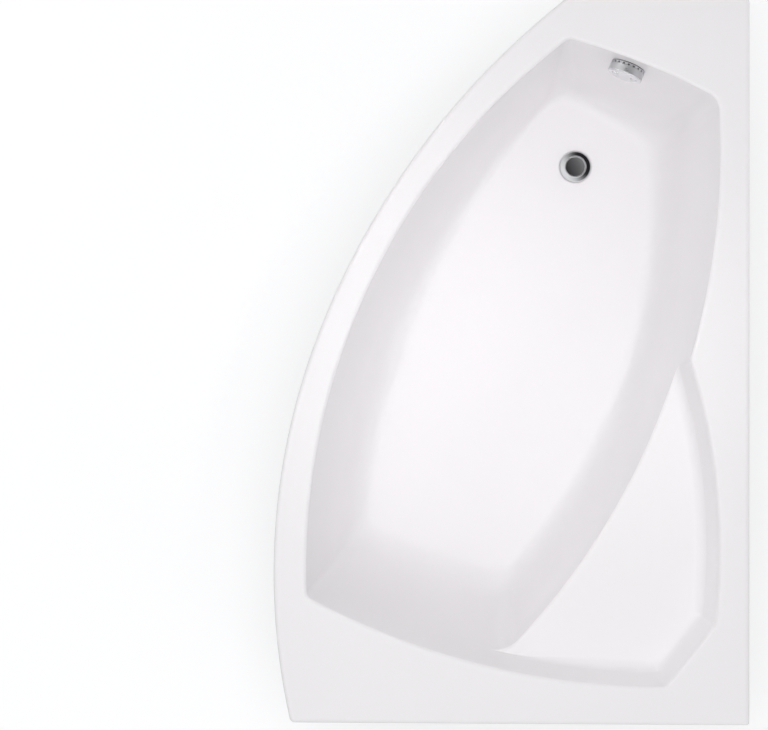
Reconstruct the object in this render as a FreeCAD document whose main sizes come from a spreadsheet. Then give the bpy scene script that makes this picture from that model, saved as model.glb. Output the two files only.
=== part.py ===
import FreeCAD, Part
import math
import os
import re
import Sketcher
from FreeCAD import Placement, Rotation, Vector

# Corner bath for a room corner: acrylic tub with a seat, its steel under-frame and feet, a curved
# three-panel apron, and the remote-controlled waste and overflow set. Millimetres, +Z up, the floor
# at z = 0. The long wall side is +X, the drain end is +Y and the wide backrest end is -Y.

SIZES = (
    # outline of the rim
    ("bath_length", 1530, "along the long wall"),
    ("bath_width", 1000, "long wall to the widest point of the front"),
    ("rim_height", 600, "floor to the top of the rim"),
    ("front_belly", 315, "wide end to the widest point"),
    ("front_radius_wide", 1400, "front curve near the wide end"),
    ("front_change", 815, "wide end to where the flatter front curve starts"),
    ("drain_end_wide", 377.1, "rim's drain end, along its edge"),
    ("skirt_drop", 42, "height of the rim's turned-down edge"),
    ("drain_wall_corner", 18, "plan radius of the rim corner at the drain end, wall side"),
    ("head_wall_corner", 7, "plan radius of the room corner"),
    ("head_front_corner", 12, "plan radius of the rim corner at the wide end, front side"),
    ("drain_front_corner", 6, "plan radius of the rim corner at the drain end, front side"),
    ("rim_edge_roll", 8, "outer edge of the rim"),
    ("acrylic_wall", 5, "acrylic sheet"),
    ("laminate_wall", 3, "glass-fibre laminate under the acrylic"),
    # basin corners: distance from the long wall, and from the nearer end
    ("drain_front_rim_in", 378, "basin corner at rim level"),
    ("drain_front_rim_end", 89, "basin corner at rim level, from the drain end"),
    ("drain_back_rim_in", 64, "basin corner at rim level"),
    ("drain_back_rim_end", 217, "basin corner at rim level, from the drain end"),
    ("head_back_rim_in", 509, "basin corner at rim level"),
    ("head_back_rim_end", 113, "basin corner at rim level, from the wide end"),
    ("head_front_rim_in", 70, "basin corner at rim level, from the widest point of the front"),
    ("head_front_rim_end", 266, "basin corner at rim level, from the wide end"),
    ("drain_front_floor_in", 394, "basin corner at the floor"),
    ("drain_front_floor_end", 172, "basin corner at the floor, from the drain end"),
    ("drain_back_floor_in", 209, "basin corner at the floor"),
    ("drain_back_floor_end", 290, "basin corner at the floor, from the drain end"),
    ("head_back_floor_in", 516, "basin corner at the floor"),
    ("head_back_floor_end", 308, "basin corner at the floor, from the wide end"),
    ("head_front_floor_in", 185, "basin corner at the floor, from the widest point of the front"),
    ("head_front_floor_end", 415, "basin corner at the floor, from the wide end"),
    # how far each basin side bows outwards between its corners; the front side follows the rim instead
    ("front_margin", 57.6, "basin to the front curve, halfway along the basin's front side"),
    ("front_floor_flatter", 80, "bow of the front side at the floor, less than at the rim"),
    ("drain_rim_bow", 10, "drain end at the rim"),
    ("back_rim_bow", 138, "back side at the rim"),
    ("head_rim_bow", 16, "backrest at the rim"),
    ("drain_floor_bow", 8, "drain end at the floor"),
    ("back_floor_bow", 104, "back side at the floor"),
    ("head_floor_bow", 10, "backrest at the floor"),
    # plan radii of the basin corners
    ("drain_front_rim_round", 20, "rim level"),
    ("drain_back_rim_round", 42, "rim level"),
    ("head_back_rim_round", 60, "rim level, met only below the seat"),
    ("head_front_rim_round", 18, "rim level"),
    ("drain_front_floor_round", 60, "floor"),
    ("drain_back_floor_round", 45, "floor"),
    ("head_back_floor_round", 60, "floor"),
    ("head_front_floor_round", 45, "floor"),
    ("inside_depth", 420, "rim to the basin floor"),
    ("wall_draft_share", 0.45, "share of a wall's lean that is straight draft"),
    ("basin_edge_roll", 10, "rolled edge round the opening and the seat's front"),
    # seat beside the basin
    ("seat_depth", 115, "rim to the seat"),
    ("seat_draft", 25, "lean of the seat's side walls over their height"),
    ("seat_floor_round", 8, "fillet between the seat and its side walls"),
    ("seat_top_in", 145, "hidden end of the seat's wall side, from the long wall"),
    ("seat_top_end", 825, "hidden end of the seat's wall side, from the wide end"),
    ("seat_side_in", 65, "seat corner by the long wall"),
    ("seat_side_end", 212, "seat corner by the long wall, from the wide end"),
    ("seat_side_bow", 37, "bow of the seat's wall side"),
    ("seat_foot_in", 172, "seat corner by the wide end, from the long wall"),
    ("seat_foot_end", 71, "seat corner by the wide end"),
    ("seat_inner_in", 580, "hidden seat corner in the basin, from the long wall"),
    ("seat_step", 1.5, "seat's wide-end wall stands in front of the backrest wall"),
    ("seat_corner_round", 9, "plan radius of the seat corners"),
    # waste and overflow
    ("drain_in", 354, "drain centre from the long wall"),
    ("drain_end", 329, "drain centre from the drain end"),
    ("drain_hole", 50, "hole in the tub"),
    ("drain_recess", 75, "recess for the waste flange"),
    ("drain_recess_depth", 2, "recess for the waste flange"),
    ("overflow_in", 250, "overflow centre from the long wall"),
    ("overflow_drop", 76, "overflow centre below the rim"),
    ("overflow_hole", 54, "hole in the drain-end wall"),
    ("seal", 1, "flange gasket"),
    ("lip", 2.5, "waste flange lip"),
    ("flange_size", 72, "waste flange diameter"),
    ("neck_size", 45.6, "threaded neck of the flange"),
    ("neck_bore", 38, "water way through the flange"),
    ("neck_drop", 22, "flange neck length"),
    ("neck_free", 6, "start of the threaded bore below the body's top flange"),
    ("hub_drop", 14, "guide hub of the plug stem below the lip"),
    ("hub_tall", 6, "guide hub of the plug stem"),
    ("spoke_wide", 3, "spokes of the guide hub"),
    ("spoke_tall", 5, "spokes of the guide hub"),
    ("plug_size", 68, "plug cap diameter"),
    ("plug_rise", 5, "top of the plug above the flange"),
    ("plug_dish", 46, "dished centre of the plug"),
    ("plug_lift", 0.5, "running gap under the shut plug"),
    ("plug_boss", 4, "boss under the plug cap, height and width beyond the stem"),
    ("stem_size", 6, "plug stem"),
    ("stem_drop", 48.7, "plug stem below the flange lip"),
    ("slip", 0.05, "radial running clearance of shafts"),
    ("ease", 0.3, "clearance between curved faces that turn"),
    ("thick_seal", 3, "gasket under the tub"),
    ("body_flange", 4, "top flange of the waste body"),
    ("body_size", 55, "waste body"),
    ("body_drop", 62, "basin floor to the bottom of the waste body"),
    ("body_wall", 4.5, "waste body"),
    ("spigot_size", 42, "threaded lower spigot"),
    ("spigot_drop", 18, "threaded lower spigot"),
    ("spigot_bore", 34, "water way through the spigot"),
    ("inlet_drop", 49, "basin floor to the inlet axis"),
    ("inlet_size", 31, "overflow inlet spigot"),
    ("inlet_bore", 24, "overflow inlet bore"),
    ("inlet_reach", 80, "drain axis to the end of the inlet"),
    ("housing_reach", 62, "drain axis to the end of the lever housing"),
    ("housing_width", 36, "lever housing"),
    ("housing_top", 30, "basin floor to the top of the lever housing"),
    ("housing_foot", 65, "basin floor to the bottom of the lever housing"),
    ("cover_rise", 9, "slope of the housing cover"),
    ("cover_length", 33, "housing cover"),
    ("cover_width", 30, "housing cover"),
    ("cover_sheet", 1.5, "housing cover"),
    ("lever_reach", 31, "drain axis to the lift lever's pivot"),
    ("lever_wide", 6, "lift lever"),
    ("lever_thick", 4, "lift lever"),
    ("lever_eye", 3, "lift lever round its pin"),
    ("pivot_size", 4, "pivot pin of the lift lever"),
    ("union_size", 49, "union nut on the inlet"),
    ("union_long", 20, "union nut on the inlet"),
    # overflow head, measured from the face of the wall
    ("head_seal", 1.5, "gasket in front of the wall"),
    ("face_size", 73, "slotted ring"),
    ("face_deep", 5.5, "slotted ring"),
    ("face_disc", 2, "slotted ring's back"),
    ("face_wall", 3, "slotted ring's rim"),
    ("face_slots", 20, "slots in the ring"),
    ("slot_wide", 4, "slots in the ring"),
    ("knob_size", 75, "turning knob"),
    ("knob_deep", 17, "turning knob"),
    ("knob_wall", 3.5, "turning knob"),
    ("knob_gap", 0.6, "slotted ring to knob"),
    ("finger_size", 17, "finger dimples of the knob"),
    ("finger_place", 21, "finger dimples, from the knob's axis"),
    ("finger_deep", 4, "finger dimples"),
    ("shaft_size", 8, "knob shaft"),
    ("shaft_drop", 41, "knob shaft behind the wall's face"),
    ("shaft_grip", 6, "knob shaft inside the knob"),
    ("crank_size", 22, "cable crank on the shaft"),
    ("crank_thick", 5, "cable crank on the shaft"),
    ("screw_place", 18, "face screws, from the axis"),
    ("screw_size", 5, "face screws"),
    ("post_wall", 2.5, "screw posts of the overflow body"),
    ("post_start", 3, "screw posts in front of the body's back"),
    ("back_size", 60, "overflow body"),
    ("back_drop", 38, "overflow body behind the wall's face"),
    ("dome_size", 41, "rear dome of the overflow body"),
    ("dome_drop", 52, "rear dome behind the wall's face"),
    ("tail_depth", 27, "hose spigot axis behind the wall's face"),
    ("tail_size", 22, "hose spigot"),
    ("tail_bore", 17, "hose spigot"),
    ("tail_drop", 62, "hose spigot below the overflow's axis"),
    ("cable_aside", 32, "cable beside the hose"),
    # hose and cable
    ("hose_bore", 22, "hose"),
    ("hose_crest", 29, "over the ribs"),
    ("hose_root", 25.6, "between the ribs"),
    ("rib_pitch", 4, "hose ribs"),
    ("hose_start", 36, "hose end below the overflow's axis"),
    ("top_cuff_size", 31, "upper hose cuff"),
    ("top_cuff", 38, "upper hose cuff"),
    ("top_neck_size", 26, "smooth neck under the upper cuff"),
    ("top_neck", 17, "smooth neck under the upper cuff"),
    ("low_cuff_size", 27, "lower hose cuff"),
    ("low_cuff", 32, "lower hose cuff"),
    ("hose_bend", 105, "bend radius of the hose"),
    ("cable_size", 5, "cable"),
    ("cable_bend", 120, "bend radius of the cable"),
    ("gland_flat", 18, "cable gland nut over the flats"),
    ("gland_start", 21, "gland nut below the overflow's axis"),
    ("gland_long", 14, "cable gland nut"),
    ("sleeve_long", 25, "cable sleeve"),
    ("sleeve_size", 10, "cable sleeve"),
    ("cable_drop", 58, "basin floor to the cable at the lever housing"),
    # trap and outlet
    ("trap_nut_size", 54, "nut under the waste body"),
    ("trap_nut_long", 22, "nut under the waste body"),
    ("trap_nut_free", 3.5, "thread left free above the nut"),
    ("trap_neck", 41, "trap inlet"),
    ("trap_top", 108, "basin floor to the top of the trap"),
    ("trap_foot", 152, "basin floor to the bottom of the trap"),
    ("trap_width", 58, "trap cup"),
    ("trap_reach", 86, "drain axis to the outlet's swivel axis"),
    ("trap_wall", 4, "trap cup"),
    ("dip_deep", 22, "trap inlet inside the cup"),
    ("lid_lip", 2.5, "trap lid round the cup"),
    ("lid_tall", 10, "trap lid"),
    ("socket_size", 51, "outlet socket"),
    ("socket_tall", 16, "outlet socket, ending below the elbow's bend"),
    ("pipe_size", 40, "outlet pipe"),
    ("pipe_wall", 2.5, "outlet pipe"),
    ("elbow_bend", 24, "outlet elbow"),
    ("outlet_drop", 68, "basin floor to the outlet's axis"),
    ("pipe_long", 95, "outlet pipe from the elbow"),
    ("pipe_start", 4, "outlet pipe above the underside of the socket"),
    ("sleeve_outer", 50, "outlet sleeve"),
    ("sleeve_lap", 10, "outlet sleeve over the pipe"),
    ("sleeve_reach", 57, "outlet sleeve beyond the pipe"),
    ("collar_size", 56, "collar of the outlet sleeve"),
    ("collar_long", 6, "collar of the outlet sleeve"),
    # under-frame and feet
    ("board_thick", 16, "chipboard base"),
    ("board_inset", 18, "board inside the edge of the basin floor"),
    ("board_cutout", 130, "cut-out round the waste"),
    ("bar_wide", 40, "steel channel"),
    ("bar_tall", 25, "steel channel"),
    ("bar_sheet", 2, "steel channel"),
    ("drain_bar_end", 525, "drain-end channel from the drain end"),
    ("drain_bar_clear", 23.5, "its front foot's axis to the basin wall beside the spindle's tip"),
    ("drain_bar_high", 110, "wall end of that channel from the long wall"),
    ("head_bar_end", 465, "wide-end channel from the wide end"),
    ("head_bar_clear", 40.9, "its front foot's axis to the basin wall beside the spindle's tip"),
    ("head_bar_high", 100, "wall end of that channel from the long wall"),
    ("foot_inset", 25, "foot from the end of its channel"),
    ("foot_size", 50, "cone foot"),
    ("foot_top", 20, "cone foot"),
    ("foot_tall", 60, "cone foot"),
    ("foot_rim", 5, "rim of the cone foot"),
    ("spindle_size", 10, "threaded foot spindle"),
    ("spindle_low", 16, "lower end of the spindle above the floor"),
    ("spindle_over", 34, "spindle above its channel"),
    ("nut_flat", 17, "hexagon nuts over the flats"),
    ("nut_tall", 8, "hexagon nuts"),
    ("wood_screw", 4, "board screw shank"),
    ("wood_screw_head", 10, "board screw head"),
    ("wood_screw_long", 12, "board screw in the board"),
    ("wood_screw_cap", 3, "height of a screw's head"),
    # apron
    ("panel_setback", 1, "notched strip behind the face of the rim"),
    ("strip_sheet", 1.5, "notched strip"),
    ("strip_tall", 27, "notched strip"),
    ("notch_pitch", 48.5, "notches in the strip"),
    ("notch_wide", 9, "notches in the strip"),
    ("notch_peak", 0.5, "top of a notch behind the strip's leg"),
    ("panel_sheet", 2.5, "apron panel"),
    ("panel_gap", 1.5, "between panels, and under the rim"),
    ("panel_lift", 6, "panel above the floor"),
    ("panel_end", 13, "end panel from the rim's end"),
    ("post_wide", 60, "joining strip"),
    ("post_sheet", 2, "joining strip"),
    ("post_short", 42, "joining strip below the rim's turned-down edge"),
    ("tab_wide", 24, "hanging tab of the joining strip"),
    ("tab_top", 14, "rim to the top of the hanging tab"),
)

os.makedirs("parts", exist_ok=True)
doc = FreeCAD.newDocument("corner_bath")
sheet = doc.addObject("Spreadsheet::Sheet", "dims")
for row, (alias, value, note) in enumerate(SIZES, 1):
    sheet.set(f"A{row}", alias)
    sheet.set(f"B{row}", str(value))
    sheet.set(f"C{row}", note)
    sheet.setAlias(f"B{row}", alias)
doc.recompute()
ALIASES = {alias for alias, value, note in SIZES}
UP = Vector(0, 0, 1)
SUBPARTS = []


def size(alias):
    return float(sheet.get(alias))


def formula(text):
    return re.sub(r"[a-z_]+", lambda m: "dims." + m.group() if m.group() in ALIASES else m.group(), text)


def bind(item, **formulas):
    for name, text in formulas.items():
        item.setExpression(name, formula(text))


def place(item, x="0", y="0", z="0", turn=None):
    """Sets where an item lies; turn is (axis, degrees)."""
    if turn:
        item.Placement = Placement(Vector(), Rotation(turn[0], turn[1]))
    for axis, text in zip("xyz", (x, y, z)):
        item.setExpression("Placement.Base." + axis, formula(text))
    return item


def subpart(label, item, spot=None):
    """Registers a piece under its name and, if given, moves it to its spot in the bath."""
    item.Label = label
    if spot:
        item.Placement = spot
    SUBPARTS.append(item)
    return item


def shaped(label, shape):
    item = doc.addObject("Part::Feature", label)
    item.Shape = shape
    return subpart(label, item)


# ---------------------------------------------------------------- primitives, sketches and booleans
def cylinder(name, diameter, height, x="0", y="0", z="0", turn=None):
    item = doc.addObject("Part::Cylinder", name)
    bind(item, Radius=f"({diameter}) / 2", Height=height)
    return place(item, x, y, z, turn)


def box(name, length, width, height, x="0", y="0", z="0", turn=None):
    item = doc.addObject("Part::Box", name)
    bind(item, Length=length, Width=width, Height=height)
    return place(item, x, y, z, turn)


def fused(name, *items):
    item = doc.addObject("Part::MultiFuse", name)
    item.Shapes = list(items)
    return item


def cut(name, base, *tools):
    item = doc.addObject("Part::Cut", name)
    item.Base = base
    item.Tool = tools[0] if len(tools) == 1 else fused(name + "_tools", *tools)
    return item


def outline_sketch(body, plane, corners, circles=()):
    """A closed outline whose corners, and any round holes, are tied to the sheet."""
    sketch = body.newObject("Sketcher::SketchObject", body.Name + "_outline")
    origin = [item for item in body.Origin.OriginFeatures if item.Role == plane]
    sketch.AttachmentSupport = (origin[0], [""])
    sketch.MapMode = "FlatFace"
    count = len(corners)
    start = [Vector(math.cos(math.tau * i / count), math.sin(math.tau * i / count), 0) * 20
             for i in range(count)]
    for i in range(count):
        sketch.addGeometry(Part.LineSegment(start[i], start[(i + 1) % count]))
    for i in range(count):
        sketch.addConstraint(Sketcher.Constraint("Coincident", i, 2, (i + 1) % count, 1))
    for across, up, diameter in circles:
        sketch.addGeometry(Part.Circle(Vector(1, 1, 0), UP, 2))
        number = sketch.addConstraint(Sketcher.Constraint("Radius", sketch.GeometryCount - 1, 2))
        sketch.setExpression(f"Constraints[{number}]", formula(f"({diameter}) / 2"))
    spots = [(i, 1, across, up) for i, (across, up) in enumerate(corners)]
    spots += [(count + i, 3, across, up) for i, (across, up, diameter) in enumerate(circles)]
    for line, point, across, up in spots:
        for kind, text in (("DistanceX", across), ("DistanceY", up)):
            number = sketch.addConstraint(Sketcher.Constraint(kind, -1, 1, line, point, 1))
            sketch.setExpression(f"Constraints[{number}]", formula(text))
    doc.recompute()
    return sketch


def turned(name, corners):
    """A body of revolution about its own Z axis, from (radius, height) corners."""
    body = doc.addObject("PartDesign::Body", name)
    sketch = outline_sketch(body, "XZ_Plane", corners)
    spin = body.newObject("PartDesign::Revolution", name + "_turn")
    spin.Profile = sketch
    spin.ReferenceAxis = (sketch, ["V_Axis"])
    spin.Angle = 360
    return body


def extruded(name, corners, length, circles=(), plane="XY_Plane"):
    body = doc.addObject("PartDesign::Body", name)
    sketch = outline_sketch(body, plane, corners, circles)
    pad = body.newObject("PartDesign::Pad", name + "_pad")
    pad.Profile = sketch
    bind(pad, Length=length)
    return body


HEXAGON = (("{f} / sqrt(3)", "0"), ("{f} / sqrt(12)", "{f} / 2"), ("-{f} / sqrt(12)", "{f} / 2"),
           ("-{f} / sqrt(3)", "0"), ("-{f} / sqrt(12)", "-{f} / 2"), ("{f} / sqrt(12)", "-{f} / 2"))


def nut(name, flat, tall, bore):
    corners = [(x.format(f=flat), y.format(f=flat)) for x, y in HEXAGON]
    return extruded(name, corners, tall, [("0", "0", bore)])


# ---------------------------------------------------------------- plan geometry of rim and basin
HALF_LENGTH = size("bath_length") / 2
HALF_WIDTH = size("bath_width") / 2
FLOOR = size("rim_height") - size("inside_depth")


class Side:
    """One side of a rounded plan outline: part of a circle whose centre lies inside the outline."""

    def __init__(self, centre, radius):
        self.centre = centre
        self.radius = radius

    def grown(self, amount):
        return Side(self.centre, self.radius + amount)

    def meets(self, other, near):
        across = other.centre - self.centre
        far = across.Length
        along = (far ** 2 + self.radius ** 2 - other.radius ** 2) / (2 * far)
        aside = math.sqrt(max(self.radius ** 2 - along ** 2, 0))
        across.normalize()
        normal = UP.cross(across)
        spots = [self.centre + across * along + normal * aside * way for way in (1, -1)]
        return min(spots, key=lambda spot: (spot - near).Length)

    def nearest(self, spot):
        return self.centre + (spot - self.centre).normalize() * self.radius


def bowed_side(start, end, bow):
    half = (end - start) / 2
    radius = (half.Length ** 2 + bow ** 2) / (2 * bow)
    inward = Vector(half.y, -half.x, 0).normalize()
    return Side(start + half + inward * (radius - bow), radius)


def ring(sides, corners, rounds, height):
    """A closed wire of arcs: each side, then the rounded corner that leads to the next side."""
    fillets = []
    for i, (corner, radius) in enumerate(zip(corners, rounds)):
        before = sides[i]
        after = sides[(i + 1) % len(sides)]
        sharp = before.meets(after, corner)
        centre = before.grown(-radius).meets(after.grown(-radius), sharp)
        fillets.append((before.nearest(centre), centre + (sharp - centre).normalize() * radius,
                        after.nearest(centre)))
    lift = Vector(0, 0, height)
    edges = []
    for i, side in enumerate(sides):
        start = fillets[i - 1][2]
        end = fillets[i][0]
        middle = side.nearest((start + end) / 2)
        edges.append(Part.Arc(start + lift, middle + lift, end + lift).toShape())
        edges.append(Part.Arc(*[spot + lift for spot in fillets[i]]).toShape())
    return Part.Wire(edges)


# The front curve of rim and apron: a wide arc, then a flatter one that ends at the drain end.
BELLY_Y = size("front_belly") - HALF_LENGTH
CHANGE_Y = size("front_change") - HALF_LENGTH
WIDE = Side(Vector(size("front_radius_wide") - HALF_WIDTH, BELLY_Y, 0), size("front_radius_wide"))
CHANGE_ANGLE = math.asin((CHANGE_Y - BELLY_Y) / WIDE.radius)
CHANGE = WIDE.centre + Vector(-math.cos(CHANGE_ANGLE), math.sin(CHANGE_ANGLE), 0) * WIDE.radius
INWARD = (WIDE.centre - CHANGE).normalize()
TO_DRAIN_END = Vector(HALF_WIDTH - size("drain_end_wide"), HALF_LENGTH, 0) - CHANGE
NARROW_RADIUS = TO_DRAIN_END.Length ** 2 / (2 * TO_DRAIN_END.dot(INWARD))
NARROW = Side(CHANGE + INWARD * NARROW_RADIUS, NARROW_RADIUS)
START_ANGLE = math.asin((-HALF_LENGTH - WIDE.centre.y) / WIDE.radius)
END_ANGLE = math.asin((HALF_LENGTH - NARROW.centre.y) / NARROW.radius)
WIDE_RUN = (CHANGE_ANGLE - START_ANGLE) * WIDE.radius
FRONT_RUN = WIDE_RUN + (END_ANGLE - CHANGE_ANGLE) * NARROW.radius

# The basin's corners in order, each ending the side of the same place in BASIN_SIDES.
BASIN_CORNERS = ("drain_front", "drain_back", "head_back", "head_front")
BASIN_SIDES = ("front", "drain", "back", "head")


def basin_corner(name, level):
    end = size(f"{name}_{level}_end")
    y = HALF_LENGTH - end if name.startswith("drain") else end - HALF_LENGTH
    x = HALF_WIDTH - size(f"{name}_{level}_in")
    return Vector(-x if name == "head_front" else x, y, 0)


def front_rim_bow():
    """Bow of the basin's front side at the rim, so that its middle keeps its margin to the front curve."""
    start = basin_corner("head_front", "rim")
    end = basin_corner("drain_front", "rim")
    middle = (start + end) / 2
    outward = UP.cross(end - start).normalize()
    curve = WIDE if middle.y < CHANGE_Y else NARROW
    along = (curve.centre - middle).dot(outward)
    aside = (curve.centre - middle - outward * along).Length
    return along + math.sqrt(curve.radius ** 2 - aside ** 2) - size("front_margin")


def basin_bow(name, level):
    if name != "front":
        return size(f"{name}_{level}_bow")
    return front_rim_bow() - (size("front_floor_flatter") if level == "floor" else 0)


def lean(depth):
    """Share of a wall's inward lean that is reached at a depth: straight draft, then a fillet."""
    share = min(depth / size("inside_depth"), 1)
    straight = size("wall_draft_share")
    return straight * share + (1 - straight) * (1 - (1 - share ** 3) ** (1 / 3))


def basin_plan(depth):
    """Sides, corners and corner radii of the basin at a depth below the rim."""
    reached = lean(depth)
    share = min(depth / size("inside_depth"), 1)

    def mixed(rim, floor, part):
        return rim * (1 - part) + floor * part

    corners = [mixed(basin_corner(name, "rim"), basin_corner(name, "floor"), reached)
               for name in BASIN_CORNERS]
    bows = [mixed(basin_bow(name, "rim"), basin_bow(name, "floor"), reached) for name in BASIN_SIDES]
    rounds = [mixed(size(f"{name}_rim_round"), size(f"{name}_floor_round"), share)
              for name in BASIN_CORNERS]
    sides = [bowed_side(corners[i - 1], corners[i], bows[i]) for i in range(4)]
    return sides, corners, rounds


def basin_ring(depth, grow=(0, 0, 0, 0), height=None):
    sides, corners, rounds = basin_plan(depth)
    sides = [side.grown(amount) for side, amount in zip(sides, grow)]
    wider = [max(radius + min(grow[i], grow[(i + 1) % 4]), 1) for i, radius in enumerate(rounds)]
    return ring(sides, corners, wider, size("rim_height") - depth if height is None else height)


ROLL_STEPS = (0, 22.5, 45, 67.5)
WALL_STEPS = (0.2, 0.4, 0.52, 0.62, 0.71, 0.79, 0.86, 0.92, 0.96, 0.985, 1)


def roll(radius, start):
    """(depth, outward) steps of a rolled edge that turns from level to upright."""
    return [(start + radius * (1 - math.cos(math.radians(a))), radius * (1 - math.sin(math.radians(a))))
            for a in ROLL_STEPS]


def basin_solid(outward=0.0):
    """The basin's hollow, or with outward the same form grown by a wall."""
    edge = size("basin_edge_roll")
    deep = size("inside_depth")
    if outward:
        rings = [basin_ring(0, [outward] * 4)]
    else:
        rings = [basin_ring(depth, [flare] * 4) for depth, flare in roll(edge, 0)]
    rings.append(basin_ring(edge, [outward] * 4))
    for share in WALL_STEPS:
        sink = outward * share ** 6
        rings.append(basin_ring(share * deep, [outward] * 4, size("rim_height") - share * deep - sink))
    return Part.makeLoft(rings, True, True)


def seat_ring(depth, flare, draft, height=None):
    wide = -HALF_LENGTH
    top = Vector(HALF_WIDTH - size("seat_top_in"), wide + size("seat_top_end"), 0)
    side = Vector(HALF_WIDTH - size("seat_side_in"), wide + size("seat_side_end"), 0)
    foot = Vector(HALF_WIDTH - size("seat_foot_in"), wide + size("seat_foot_end"), 0)
    head = basin_plan(depth)[0][3]
    inner = head.nearest(Vector(HALF_WIDTH - size("seat_inner_in"), wide, 0))
    almost_straight = 1
    sides = [bowed_side(top, side, size("seat_side_bow")).grown(flare - draft),
             bowed_side(side, foot, almost_straight).grown(flare - draft),
             head.grown(flare - size("seat_step")),
             bowed_side(inner, top, almost_straight)]
    radius = max(size("seat_corner_round") + flare, 1)
    rounds = [radius, radius, 2, 2]
    corners = [side, foot, inner, top]
    return ring(sides, corners, rounds, size("rim_height") - depth if height is None else height)


def seat_solid(outward=0.0):
    edge = size("basin_edge_roll")
    deep = size("seat_depth")
    fillet = size("seat_floor_round")
    slope = size("seat_draft") / deep
    if outward:
        rings = [seat_ring(0, outward, 0), seat_ring(edge, outward, edge * slope)]
    else:
        rings = [seat_ring(depth, flare, depth * slope) for depth, flare in roll(edge, 0)]
        rings.append(seat_ring(edge, 0, edge * slope))
    for angle in (0, 30, 60, 90):
        turn = math.radians(angle)
        depth = deep - fillet * (1 - math.sin(turn))
        draft = depth * slope + fillet * (1 - math.cos(turn))
        sink = outward * angle / 90
        rings.append(seat_ring(depth, outward, draft, size("rim_height") - depth - sink))
    return Part.makeLoft(rings, True, True)


def seat_front_roll():
    """The rounding of the edge where the seat drops into the basin."""
    edge = size("basin_edge_roll")
    deep = size("seat_depth")
    slope = size("seat_draft") / deep
    rings = [basin_ring(depth, (0, 0, flare, 0)) for depth, flare in roll(edge, deep)]
    rings.append(basin_ring(deep + edge))
    flare = Part.makeLoft(rings, True, True)
    draft = deep * slope + size("seat_floor_round")
    footing = [seat_ring(deep, 0, draft, size("rim_height") - deep - drop) for drop in (0, edge)]
    return flare.common(Part.makeLoft(footing, True, True))


# ---------------------------------------------------------------- along the front curve
def front_spot(run, inward=0.0, height=0.0):
    """A point on the front curve: run is measured along it from the wide end."""
    if run <= WIDE_RUN:
        side = WIDE
        angle = START_ANGLE + run / WIDE.radius
    else:
        side = NARROW
        angle = CHANGE_ANGLE + (run - WIDE_RUN) / NARROW.radius
    way = Vector(-math.cos(angle), math.sin(angle), 0)
    return side.centre + way * (side.radius - inward) + Vector(0, 0, height)


def front_normal(run):
    return (front_spot(run) - front_spot(run, 1)).normalize()


def front_edges(start, end, inward, height):
    """Arcs along the front curve from one run to another, at a distance behind it."""
    stops = [start, end]
    if start < WIDE_RUN < end:
        stops.insert(1, WIDE_RUN)
    if end < WIDE_RUN < start:
        stops.insert(1, WIDE_RUN)
    return [Part.Arc(front_spot(a, inward, height), front_spot((a + b) / 2, inward, height),
                     front_spot(b, inward, height)).toShape() for a, b in zip(stops, stops[1:])]


def front_slab(start, end, outer, inner, low, high):
    """A curved upright plate that follows the front curve."""
    edges = front_edges(start, end, outer, low)
    edges.append(Part.makeLine(front_spot(end, outer, low), front_spot(end, inner, low)))
    edges += front_edges(end, start, inner, low)
    edges.append(Part.makeLine(front_spot(start, inner, low), front_spot(start, outer, low)))
    return Part.Face(Part.Wire(edges)).extrude(Vector(0, 0, high - low))


def rim_prism(inward, low, high, top_round):
    """The rim's outline as a block: two wall sides, two ends and the front curve, edges rounded."""
    wide = WIDE.grown(-inward)
    narrow = NARROW.grown(-inward)
    right = HALF_WIDTH - inward
    end = HALF_LENGTH - inward
    head_x = wide.centre.x - math.sqrt(wide.radius ** 2 - (end + wide.centre.y) ** 2)
    drain_x = narrow.centre.x - math.sqrt(narrow.radius ** 2 - (end - narrow.centre.y) ** 2)
    change = wide.nearest(CHANGE)
    head_front = Vector(head_x, -end, 0)
    drain_front = Vector(drain_x, end, 0)
    edges = [Part.Arc(head_front, wide.nearest((head_front + change) / 2), change).toShape(),
             Part.Arc(change, narrow.nearest((change + drain_front) / 2), drain_front).toShape()]
    spots = [drain_front, Vector(right, end, 0), Vector(right, -end, 0), head_front]
    edges += [Part.makeLine(a, b) for a, b in zip(spots, spots[1:])]
    block = Part.Face(Part.Wire(edges)).extrude(Vector(0, 0, high - low))
    radii = ("drain_front_corner", "drain_wall_corner", "head_wall_corner", "head_front_corner")
    for spot, alias in zip(spots, radii):
        upright = [edge for edge in block.Edges if abs(edge.tangentAt(edge.FirstParameter).z) > 0.9
                   and (edge.Vertexes[0].Point - spot).cross(UP).Length < 0.01]
        block = block.makeFillet(max(size(alias) - inward, 1), upright)
    if top_round > 0:
        top = [edge for edge in block.Edges if edge.BoundBox.ZMin > high - low - 0.01]
        block = block.makeFillet(top_round, top)
    block.translate(Vector(0, 0, low))
    return block


# ---------------------------------------------------------------- where the waste and overflow sit
WALL = size("acrylic_wall")
BACKING = WALL + size("laminate_wall")
DRAIN = Vector(HALF_WIDTH - size("drain_in"), HALF_LENGTH - size("drain_end"), FLOOR)


def drain_wall_spot(depth):
    """The drain-end wall's face at the overflow's distance from the long wall."""
    side = basin_plan(depth)[0][1]
    x = HALF_WIDTH - size("overflow_in")
    y = side.centre.y + math.sqrt(side.radius ** 2 - (x - side.centre.x) ** 2)
    return Vector(x, y, size("rim_height") - depth), side


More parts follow.
